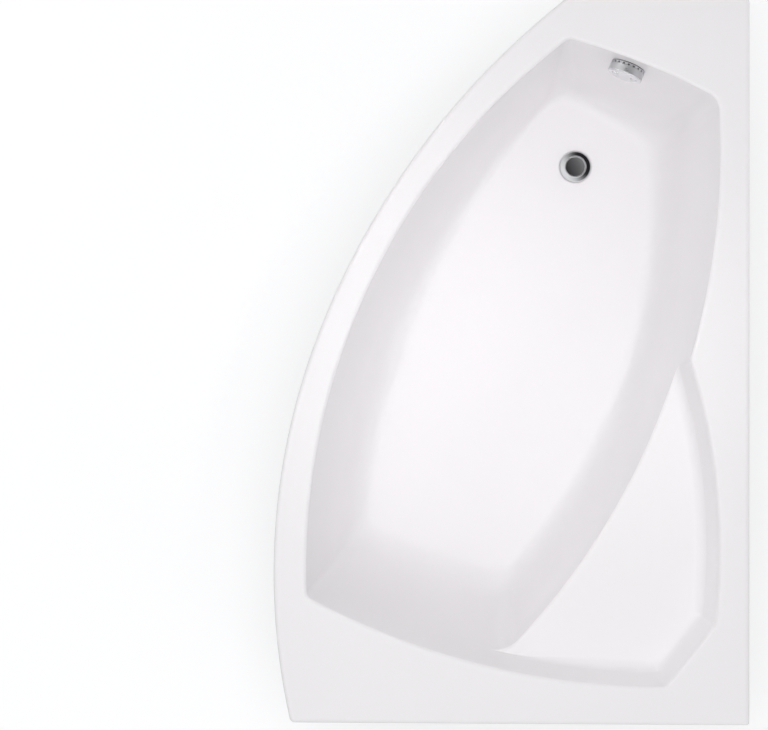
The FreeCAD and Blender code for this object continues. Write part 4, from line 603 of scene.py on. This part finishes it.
# Moulded sealing rubber: black and dull.
black_rubber = moulded("black_sealing_rubber", "1B1B1C", 0.62, 0.6 * MM, 0.02 * MM)
# Steel with bright zinc plating: pale and half dull.
zinc_steel = metal("bright_zinc_plated_steel", "B9BCC0", 0.3, 1.5 * MM, 0.01 * MM)

# radius and height of the plug in millimetres, from its underside over the bevel to its hollow top
PLUG_PROFILE = ((0, 178), (7, 178), (7, 182), (32.6, 182), (33.4, 182.3), (33.8, 183.0), (34, 183.3),
                (34, 183.9), (33.8, 184.3), (33.4, 184.5), (33.1, 184.55), (25, 185.69), (24.7, 185.73),
                (24.2, 185.9), (23.7, 186.35), (23.0, 186.5), (22.4, 186.4), (22.1, 186.1), (22, 185.4),
                (21.6, 185.15), (20.5, 185.1), (10, 184.9), (0, 184.85))
at_drain = Matrix.Translation((DRAIN.x, DRAIN.y, 0))
plug = turned_piece("bevelled_plug", [(r * MM, z * MM) for r, z in PLUG_PROFILE], chrome, 128, at_drain)
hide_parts("plug_cap")
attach(plug, "plug")
dress("waste_flange", chrome, 0.4 * MM)
dress("plug_stem", zinc_steel, 0.3 * MM)
for seal in ("plug_seal", "flange_gasket", "waste_gasket"):
    dress(seal, black_rubber)

# ---- The overflow: a chrome-plated turning knob in front of a slotted ring, on a rubber ring on the wall.
# The knob has a polished face with two finger dimples, and a satin side with a grub screw hole at the top.
INTO_BATH = Vector((-0.3653691, -0.9241325, 0.1117341))
OVERFLOW = Vector((0.25, 0.625287, 0.524))
level = Vector((0, 0, 1)).cross(INTO_BATH).normalized()
at_overflow = Matrix((level, INTO_BATH.cross(level), INTO_BATH)).transposed().to_4x4()
at_overflow.translation = OVERFLOW
KNOB_BACK, KNOB_FRONT, KNOB_RADIUS = 7.6 * MM, 24.6 * MM, 37.5 * MM
DIMPLE_PLACE, DIMPLE_SIZE, DIMPLE_DEEP = 21 * MM, 8.5 * MM, 4.5 * MM
GRUB_SIZE, GRUB_DEEP = 4.0 * MM, 4 * MM


def knob_form(spot):
    """Presses the finger dimples into the face and the grub screw's hole into the top of the side."""
    if spot.z > KNOB_FRONT - 3 * MM:
        near = min((spot.xy - Vector((way * DIMPLE_PLACE, 0))).length for way in (1, -1))
        spot.z -= DIMPLE_DEEP * smooth_step((DIMPLE_SIZE - near) / (0.5 * DIMPLE_SIZE))
    elif spot.y > 0.8 * KNOB_RADIUS:
        near = Vector((spot.x, spot.z - (KNOB_BACK + 10 * MM))).length
        spot.y -= GRUB_DEEP * smooth_step((GRUB_SIZE - near) / (0.4 * GRUB_SIZE))
    return spot


# radius and distance from the wall in millimetres: back, side, rounded edge and face, which dips by 0.5
profile = [(4, 7.6), (7.5, 7.6), (7.5, 16), (34, 16), (34, 7.6), (37.1, 7.6), (37.5, 8.0)]
profile += [(37.5, 8.0 + 0.6 * step) for step in range(1, 23)]
profile += [(35 + 2.5 * math.cos(turn), 22.1 + 2.5 * math.sin(turn)) for turn in quarter(6)]
profile += [(35 - 0.7 * step, 24.6 - 0.5 * 0.02 * step) for step in range(1, 50)] + [(0, 24.1)]
knob = turned_piece("chrome_knob", [(r * MM, z * MM) for r, z in profile], chrome, 288, at_overflow,
                    knob_form)
# Chrome plate on a brushed ground: grey rather than mirror-like, so the knob's side has no hard reflections.
satin = metal("satin_chrome_plate", "D2D3D5", 0.5, 1 * MM, 0.004 * MM)
knob.data.materials.append(satin)
for face in knob.data.polygons:
    face.material_index = 0 if face.normal.dot(INTO_BATH) > 0.3 else 1
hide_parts("overflow_knob")
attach(knob, "knob")
# Moulded black polypropylene from a polished mould: glossy.
gloss_black = moulded("gloss_black_plastic", "141415", 0.22, 2 * MM, 0.004 * MM)
dress("overflow_ring", satin, 0.3 * MM)
for seal in ("overflow_gasket", "rear_gasket"):
    dress(seal, black_rubber)
for node in ("overflow_screws", "knob_shaft"):
    dress(node, zinc_steel, 0.3 * MM)
dress("cable_crank", gloss_black, 0.3 * MM)

# ---- The tub's backing: chopped glass-fibre mat and polyester resin rolled onto the outside of the
# acrylic, so the underside is milky white and rough, with strands lying every way. A strand bundle is about
# 1 mm wide; the strands are drawn 11 mm apart to show.
backing, tree = new_material("glass_fibre_laminate")
spot = add_node(tree, "ShaderNodeTexCoord").outputs["Object"]
bent = add_node(tree, "ShaderNodeTexNoise", {"Vector": spot, "Scale": 1 / (20 * MM), "Detail": 2.0})
shifted = add_node(tree, "ShaderNodeVectorMath", {0: bent.outputs["Color"], 1: (0.02, 0.02, 0.02)},
                   operation="MULTIPLY")
swayed = add_node(tree, "ShaderNodeVectorMath", {0: spot, 1: shifted.outputs[0]}, operation="ADD")
strands = add_node(tree, "ShaderNodeTexVoronoi", {"Vector": swayed.outputs[0], "Scale": 1 / (11 * MM)},
                   feature="DISTANCE_TO_EDGE")
patches = add_node(tree, "ShaderNodeTexNoise", {"Vector": spot, "Scale": 1 / (60 * MM), "Detail": 3.0})
resin = add_node(tree, "ShaderNodeMix", {"Factor": patches.outputs["Fac"], 6: linear("E4E4DF"),
                                         7: linear("F3F3EF")}, data_type="RGBA")
bump = add_node(tree, "ShaderNodeBump", {"Height": strands.outputs["Distance"], "Strength": 0.9,
                                         "Distance": 1.6 * MM})
skin = add_node(tree, "ShaderNodeBsdfPrincipled", {"Base Color": resin.outputs[2], "Roughness": 0.42,
                                                   "Normal": bump.outputs["Normal"]})
add_node(tree, "ShaderNodeOutputMaterial", {"Surface": skin.outputs[0]})
dress("laminate_skin", backing)

# ---- The under-frame: two galvanised steel channels screwed through a chipboard base that is laminated onto
# the underside. Spangles show on the zinc; the board shows its pressed chips.
# Hot-dip galvanised sheet: flat zinc crystals, each with its own grey and gloss.
galvanised, tree = new_material("spangled_galvanised_steel")
spot = add_node(tree, "ShaderNodeTexCoord").outputs["Object"]
crystals = add_node(tree, "ShaderNodeTexVoronoi", {"Vector": spot, "Scale": 1 / (9 * MM), "Randomness": 1.0})
tone = add_node(tree, "ShaderNodeMix", {"Factor": crystals.outputs["Color"], 6: linear("9EA2A6"),
                                        7: linear("BEC1C4")}, data_type="RGBA")
dull = add_node(tree, "ShaderNodeMapRange", {"Value": crystals.outputs["Distance"], "From Max": 9 * MM,
                                             "To Min": 0.34, "To Max": 0.52})
zinc = add_node(tree, "ShaderNodeBsdfPrincipled", {"Base Color": tone.outputs[2], "Metallic": 1.0,
                                                   "Roughness": dull.outputs["Result"]})
add_node(tree, "ShaderNodeOutputMaterial", {"Surface": zinc.outputs[0]})

# Raw chipboard: flat glued chips in browns, with fine dark dust between them, quite dull.
board, tree = new_material("pressed_chipboard")
spot = add_node(tree, "ShaderNodeTexCoord").outputs["Object"]
flat = add_node(tree, "ShaderNodeVectorMath", {0: spot, 1: (1.0, 1.0, 3.0)}, operation="MULTIPLY")
chips = add_node(tree, "ShaderNodeTexVoronoi", {"Vector": flat.outputs[0], "Scale": 1 / (5 * MM)})
dust = add_node(tree, "ShaderNodeTexNoise", {"Vector": spot, "Scale": 1 / (1.2 * MM), "Detail": 3.0})
chip_tone = add_node(tree, "ShaderNodeMix", {"Factor": chips.outputs["Color"], 6: linear("B08C5E"),
                                             7: linear("D9BE92")}, data_type="RGBA")
dark_bits = add_node(tree, "ShaderNodeMix", {"Factor": dust.outputs["Fac"], 6: linear("8D6C44")},
                     data_type="RGBA")
tree.links.new(chip_tone.outputs[2], dark_bits.inputs[7])
bump = add_node(tree, "ShaderNodeBump", {"Height": chips.outputs["Distance"], "Strength": 0.5,
                                         "Distance": 0.3 * MM})
wood = add_node(tree, "ShaderNodeBsdfPrincipled", {"Base Color": dark_bits.outputs[2], "Roughness": 0.8,
                                                   "Normal": bump.outputs["Normal"]})
add_node(tree, "ShaderNodeOutputMaterial", {"Surface": wood.outputs[0]})
dress("base_board", board, 0.5 * MM)
for bar in ("cross_drain_bar", "cross_head_bar"):
    dress(bar, galvanised, 0.5 * MM)
dress("board_screws", zinc_steel, 0.3 * MM)

# ---- The feet: grey plastic cones on threaded M10 spindles that screw through a nut in the channel, each
# held by a black locknut on its cone. The thread is a rolled one of 1.5 mm pitch.
PITCH, THREAD_DEEP = 1.5 * MM, 0.8 * MM
SPINDLE_RADIUS, SPINDLE_LOW, SPINDLE_HIGH = 5 * MM, 16 * MM, 190 * MM
# radius and height of the cone in millimetres, with the hole for the spindle
FOOT_PROFILE = ((0, 0), (23.6, 0), (24.6, 0.4), (25, 1.4), (25, 4.2), (24.6, 5.2), (23.4, 5.9), (20, 8),
                (17.6, 12.5), (15.2, 20), (13.4, 30), (12.2, 42), (11.6, 52), (11.4, 53), (10.4, 53.6),
                (10, 55), (10, 59), (9.6, 59.8), (9, 60), (5.05, 60), (5.05, 16), (0, 16))


def threaded_rod(name, radius, low, high, material, steps=28):
    """A rod with a helical thread: one crest line and one root line that wind up it together."""
    mesh = bmesh.new()
    count = round((high - low - 3 * PITCH) / PITCH * steps)

    def line(distance, start):
        spots = []
        for k in range(count + steps):
            turn = math.tau * k / steps
            height = start + PITCH * k / steps
            spots.append(mesh.verts.new((distance * math.cos(turn), distance * math.sin(turn), height)))
        return spots

    crest = line(radius, low + PITCH)
    root = line(radius - THREAD_DEEP, low + 1.5 * PITCH)
    for k in range(count + steps - 1):
        mesh.faces.new((crest[k], crest[k + 1], root[k + 1], root[k]))
    for k in range(count - 1):
        mesh.faces.new((root[k], root[k + 1], crest[k + steps + 1], crest[k + steps]))
    mesh.faces.new((root[count - 1], root[count], crest[-1]))
    for ring, tip in ((crest[:steps + 1], low), (root[-steps - 1:], high)):
        ends = [mesh.verts.new((v.co.x * 0.8, v.co.y * 0.8, tip)) for v in ring]
        centre = mesh.verts.new((0, 0, tip))
        for i in range(steps):
            mesh.faces.new((ring[i], ring[i + 1], ends[i + 1], ends[i]))
            mesh.faces.new((ends[i], ends[i + 1], centre))
    bmesh.ops.recalc_face_normals(mesh, faces=mesh.faces)
    return finished(name, mesh, material, math.radians(35))


# Moulded grey polypropylene with a fine grain, and the same in black for the locknut.
foot_grey = moulded("grey_foot_plastic", "8F9296", 0.45, 0.8 * MM, 0.02 * MM)
nut_black = moulded("black_nut_plastic", "17181A", 0.4, 0.8 * MM, 0.02 * MM)
for number in range(1, 5):
    low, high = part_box(f"foot_spindle_{number}")
    under = Vector(((low[0] + high[0]) / 2, (low[1] + high[1]) / 2, 0))
    cone = turned_piece(f"cone_foot_{number}", [(r * MM, z * MM) for r, z in FOOT_PROFILE], foot_grey, 72,
                        Matrix.Translation(under))
    rod = threaded_rod(f"threaded_spindle_{number}", SPINDLE_RADIUS, SPINDLE_LOW, SPINDLE_HIGH, zinc_steel)
    rod.data.transform(Matrix.Translation(under))
    for piece, node, slot in ((cone, "foot_pad", "foot_grey"), (rod, "foot_spindle", "screw_steel")):
        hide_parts(f"{node}_{number}")
        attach(piece, f"foot_{number}")
    dress(f"foot_locknut_{number}", nut_black, 0.6 * MM)
dress("frame_nuts", zinc_steel, 0.5 * MM)

# ---- The apron: three curved sheets of vertically brushed aluminium that hang from notched white strips
# under the rim and butt at two galvanised joining strips. Their ends and lower edge are folded back.
START_TURN = math.asin((-LENGTH / 2 - WIDE_CURVE.centre.y) / WIDE_CURVE.radius)
CHANGE_TURN = math.asin((CHANGE.y - WIDE_CURVE.centre.y) / WIDE_CURVE.radius)
WIDE_RUN = (CHANGE_TURN - START_TURN) * WIDE_CURVE.radius
FRONT_RUN = 1.7305
PANEL_END, PANEL_GAP, PANEL_FACE, PANEL_SHEET = 13 * MM, 1.5 * MM, 2.5 * MM, 1.0 * MM
PANEL_LOW, PANEL_HIGH = 6 * MM, 556.2 * MM
RETURN, FOLD = 16 * MM, 1.5 * MM        # how far the edges are folded back, and the radius of the fold


def front_at(run, inward):
    """A plan point a given distance behind the front curve, with run measured from the wide end."""
    curve = WIDE_CURVE if run <= WIDE_RUN else NARROW_CURVE
    begin, past = (START_TURN, run) if run <= WIDE_RUN else (CHANGE_TURN, run - WIDE_RUN)
    turn = begin + past / curve.radius
    return curve.centre + Vector((-math.cos(turn), math.sin(turn))) * (curve.radius - inward)


def fold(start, way):
    """(along, inward) steps round a folded edge, from the return's end to the face."""
    steps = [(0, RETURN)]
    steps += [(FOLD * (1 - math.cos(turn)), FOLD * (1 - math.sin(turn))) for turn in quarter(4)]
    return [(start + way * along, PANEL_FACE + deep) for along, deep in steps]


# Aluminium brushed from top to bottom: half-dull grey with fine upright lines. A real brush line is about
# 0.05 mm wide; it is drawn at 0.5 mm to show, and 90 mm long.
brushed, tree = new_material("vertically_brushed_aluminium")
spot = add_node(tree, "ShaderNodeTexCoord").outputs["Object"]
stretched = add_node(tree, "ShaderNodeVectorMath",
                     {0: spot, 1: (1 / (0.5 * MM), 1 / (0.5 * MM), 1 / (90 * MM))}, operation="MULTIPLY")
lines = add_node(tree, "ShaderNodeTexNoise", {"Vector": stretched.outputs[0], "Scale": 1.0, "Detail": 3.0})
grey = add_node(tree, "ShaderNodeMix", {"Factor": lines.outputs["Fac"], 6: linear("828180"),
                                        7: linear("B0AFAE")}, data_type="RGBA")
sheen = add_node(tree, "ShaderNodeMapRange", {"Value": lines.outputs["Fac"], "To Min": 0.3, "To Max": 0.48})
bump = add_node(tree, "ShaderNodeBump", {"Height": lines.outputs["Fac"], "Strength": 0.25,
                                         "Distance": 0.05 * MM})
sheet = add_node(tree, "ShaderNodeBsdfPrincipled",
                 {"Base Color": grey.outputs[2], "Metallic": 1.0, "Roughness": sheen.outputs["Result"],
                  "Anisotropic": 0.6, "Normal": bump.outputs["Normal"]})
add_node(tree, "ShaderNodeOutputMaterial", {"Surface": sheet.outputs[0]})
# White stove enamel on aluminium strip: even and half glossy.
strip_white = moulded("white_enamelled_strip", "E9E9E8", 0.35, 1.2 * MM, 0.01 * MM)

stops = [PANEL_END, FRONT_RUN / 3, FRONT_RUN * 2 / 3, FRONT_RUN - PANEL_END]
for number in range(3):
    start = stops[number] + (PANEL_GAP / 2 if number else 0)
    end = stops[number + 1] - (PANEL_GAP / 2 if number < 2 else 0)
    along = fold(start, 1)
    along += [(start + FOLD + (end - start - 2 * FOLD) * i / 60, PANEL_FACE) for i in range(1, 60)]
    along += fold(end, -1)[::-1]
    mesh = bmesh.new()
    rows = []
    for height, deeper in ((PANEL_LOW, RETURN), (PANEL_LOW, FOLD), (PANEL_LOW + 0.3 * FOLD, 0.3 * FOLD),
                           (PANEL_LOW + FOLD, 0), (0.14, 0), (0.28, 0), (0.42, 0), (PANEL_HIGH, 0)):
        row = [front_at(run, max(inward, PANEL_FACE + deeper)) for run, inward in along]
        rows.append(at_height(row, height))
    add_rows(mesh, rows, closed=False)
    bmesh.ops.remove_doubles(mesh, verts=mesh.verts, dist=2e-5)
    panel = finished(f"brushed_panel_{number + 1}", mesh, brushed, math.radians(40))
    applied(panel, "SOLIDIFY", thickness=PANEL_SHEET, offset=-1)
    panel.data.set_sharp_from_angle(angle=math.radians(40))
    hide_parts(f"apron_panel_{number + 1}")
    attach(panel, f"panel_{number + 1}")
    dress(f"notched_strip_{number + 1}", strip_white, 0.3 * MM)
for strip in ("joining_strip_1", "joining_strip_2"):
    dress(strip, galvanised, 0.4 * MM)
dress("tab_screws", zinc_steel, 0.3 * MM)

# ---- The waste and overflow set under the tub: black moulded bodies, a charcoal trap with its snap-on lid,
# and a swivelling outlet with a sleeve for the room's pipe. The solids' own shapes are shown.
# Moulded charcoal polypropylene from a spark-eroded mould: matt, with a fine grain.
matte_black = moulded("matte_charcoal_plastic", "2E2F31", 0.5, 0.5 * MM, 0.02 * MM)
for node in ("overflow_body", "waste_body", "union_nut", "lift_lever", "cable_gland_nut", "lower_cable_gland",
             "mechanism_cover"):
    dress(node, gloss_black, 0.4 * MM)
for node in ("trap_body", "trap_lid", "trap_nut", "outlet_elbow", "outlet_sleeve"):
    dress(node, matte_black, 0.4 * MM)
dress("lift_pivot_pin", zinc_steel, 0.3 * MM)

# ---- The overflow hose and the remote cable: a black ribbed hose and a smooth plastic-covered cable. They
# hang straight down from the overflow, turn once and run level into the waste. Both are fixed at both ends.


def routed(name, points):
    """Places along a cord's route, a NURBS spline with few points, and how far along it each one is."""
    data = bpy.data.curves.new(name, "CURVE")
    data.dimensions = "3D"
    data.resolution_u = 24
    spline = data.splines.new("NURBS")
    spline.points.add(len(points) - 1)
    for point, spot in zip(spline.points, points):
        point.co = (*spot, 1)
    spline.order_u = 3
    spline.use_endpoint_u = True
    holder = bpy.data.objects.new(name, data)
    scene.collection.objects.link(holder)
    graph = bpy.context.evaluated_depsgraph_get()
    wire = bpy.data.meshes.new_from_object(holder.evaluated_get(graph))
    spots = [v.co.copy() for v in wire.vertices]
    bpy.data.objects.remove(holder)
    bpy.data.curves.remove(data)
    bpy.data.meshes.remove(wire)
    runs = [0.0]
    for a, b in zip(spots, spots[1:]):
        runs.append(runs[-1] + (b - a).length)
    return spots, runs


def along_route(route, run):
    """The place and the way of a route at a distance from its start."""
    spots, runs = route
    step = 0
    while step < len(runs) - 2 and runs[step + 1] < run:
        step += 1
    share = min(max((run - runs[step]) / (runs[step + 1] - runs[step]), 0), 1)
    return spots[step].lerp(spots[step + 1], share), (spots[step + 1] - spots[step]).normalized()


def swept(name, route, sections, material, steps):
    """A round cord with a given radius at each run along its route, closed at both ends."""
    mesh = bmesh.new()
    rows = []
    across = along_route(route, 0)[1].orthogonal()
    for run, radius in sections:
        centre, way = along_route(route, run)
        across = (across - way * across.dot(way)).normalized()
        other = way.cross(across)
        turns = [math.tau * i / steps for i in range(steps)]
        rows.append([centre + (across * math.cos(turn) + other * math.sin(turn)) * radius for turn in turns])
    made = add_rows(mesh, rows)
    mesh.faces.new(made[0])
    mesh.faces.new(made[-1][::-1])
    bmesh.ops.recalc_face_normals(mesh, faces=mesh.faces)
    return finished(name, mesh, material, math.radians(50))


# Black polyethylene, moulded in ribs for the hose and drawn smooth over the cable: a soft gloss.
hose_black = moulded("ribbed_hose_polyethylene", "1A1A1B", 0.28, 1.5 * MM, 0.01 * MM)
HOSE_TOP, HOSE_END = Vector((0.2599, 0.6502, 0.485)), Vector((0.18355, 0.50664, 0.131))
HOSE_RIBS, CREST, ROOT = 96, 14.5 * MM, 12.8 * MM
TOP_CUFF, TOP_NECK, LOW_CUFF = 38 * MM, 17 * MM, 32 * MM
corner = Vector((HOSE_TOP.x, HOSE_TOP.y, HOSE_END.z))
towards = (HOSE_END - corner).normalized()
hose_route = routed("hose_route", [HOSE_TOP, corner + Vector((0, 0, 0.2)), corner, corner + towards * 0.13,
                                   HOSE_END])
length = hose_route[1][-1]
sections = [(0, 15.5 * MM), (TOP_CUFF, 15.5 * MM), (TOP_CUFF + 2 * MM, 13 * MM),
            (TOP_CUFF + TOP_NECK, 13 * MM)]
ribs_start, ribs_end = TOP_CUFF + TOP_NECK, length - LOW_CUFF
pitch = (ribs_end - ribs_start) / HOSE_RIBS
for rib in range(HOSE_RIBS):
    for share, radius in ((0.05, ROOT), (0.3, ROOT), (0.42, CREST - 0.3 * MM), (0.52, CREST), (0.84, CREST),
                          (0.94, CREST - 0.3 * MM)):
        sections.append((ribs_start + (rib + share) * pitch, radius))
sections += [(ribs_end + 0.5 * MM, 13.5 * MM), (length, 13.5 * MM)]
hose = swept("ribbed_overflow_hose", hose_route, sections, hose_black, 40)
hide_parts("overflow_hose")
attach(hose, "tub")
dress("cable_sleeve", hose_black, 0.4 * MM)

CABLE_TOP, CABLE_END = Vector((0.23159, 0.66526, 0.493)), Vector((0.14213, 0.49699, 0.122))
CABLE_RADIUS = 2.5 * MM
corner = Vector((CABLE_TOP.x, CABLE_TOP.y, CABLE_END.z))
towards = (CABLE_END - corner).normalized()
cable_route = routed("cable_route", [CABLE_TOP, corner + Vector((0, 0, 0.22)), corner,
                                     corner + towards * 0.15, CABLE_END])
cable = swept("remote_cable", cable_route, [(run, CABLE_RADIUS) for run in cable_route[1]], hose_black, 20)
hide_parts("bowden_cable")
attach(cable, "tub")

# ---- The shown model's box: the bounds of every shown piece but the floor.
low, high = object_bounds()
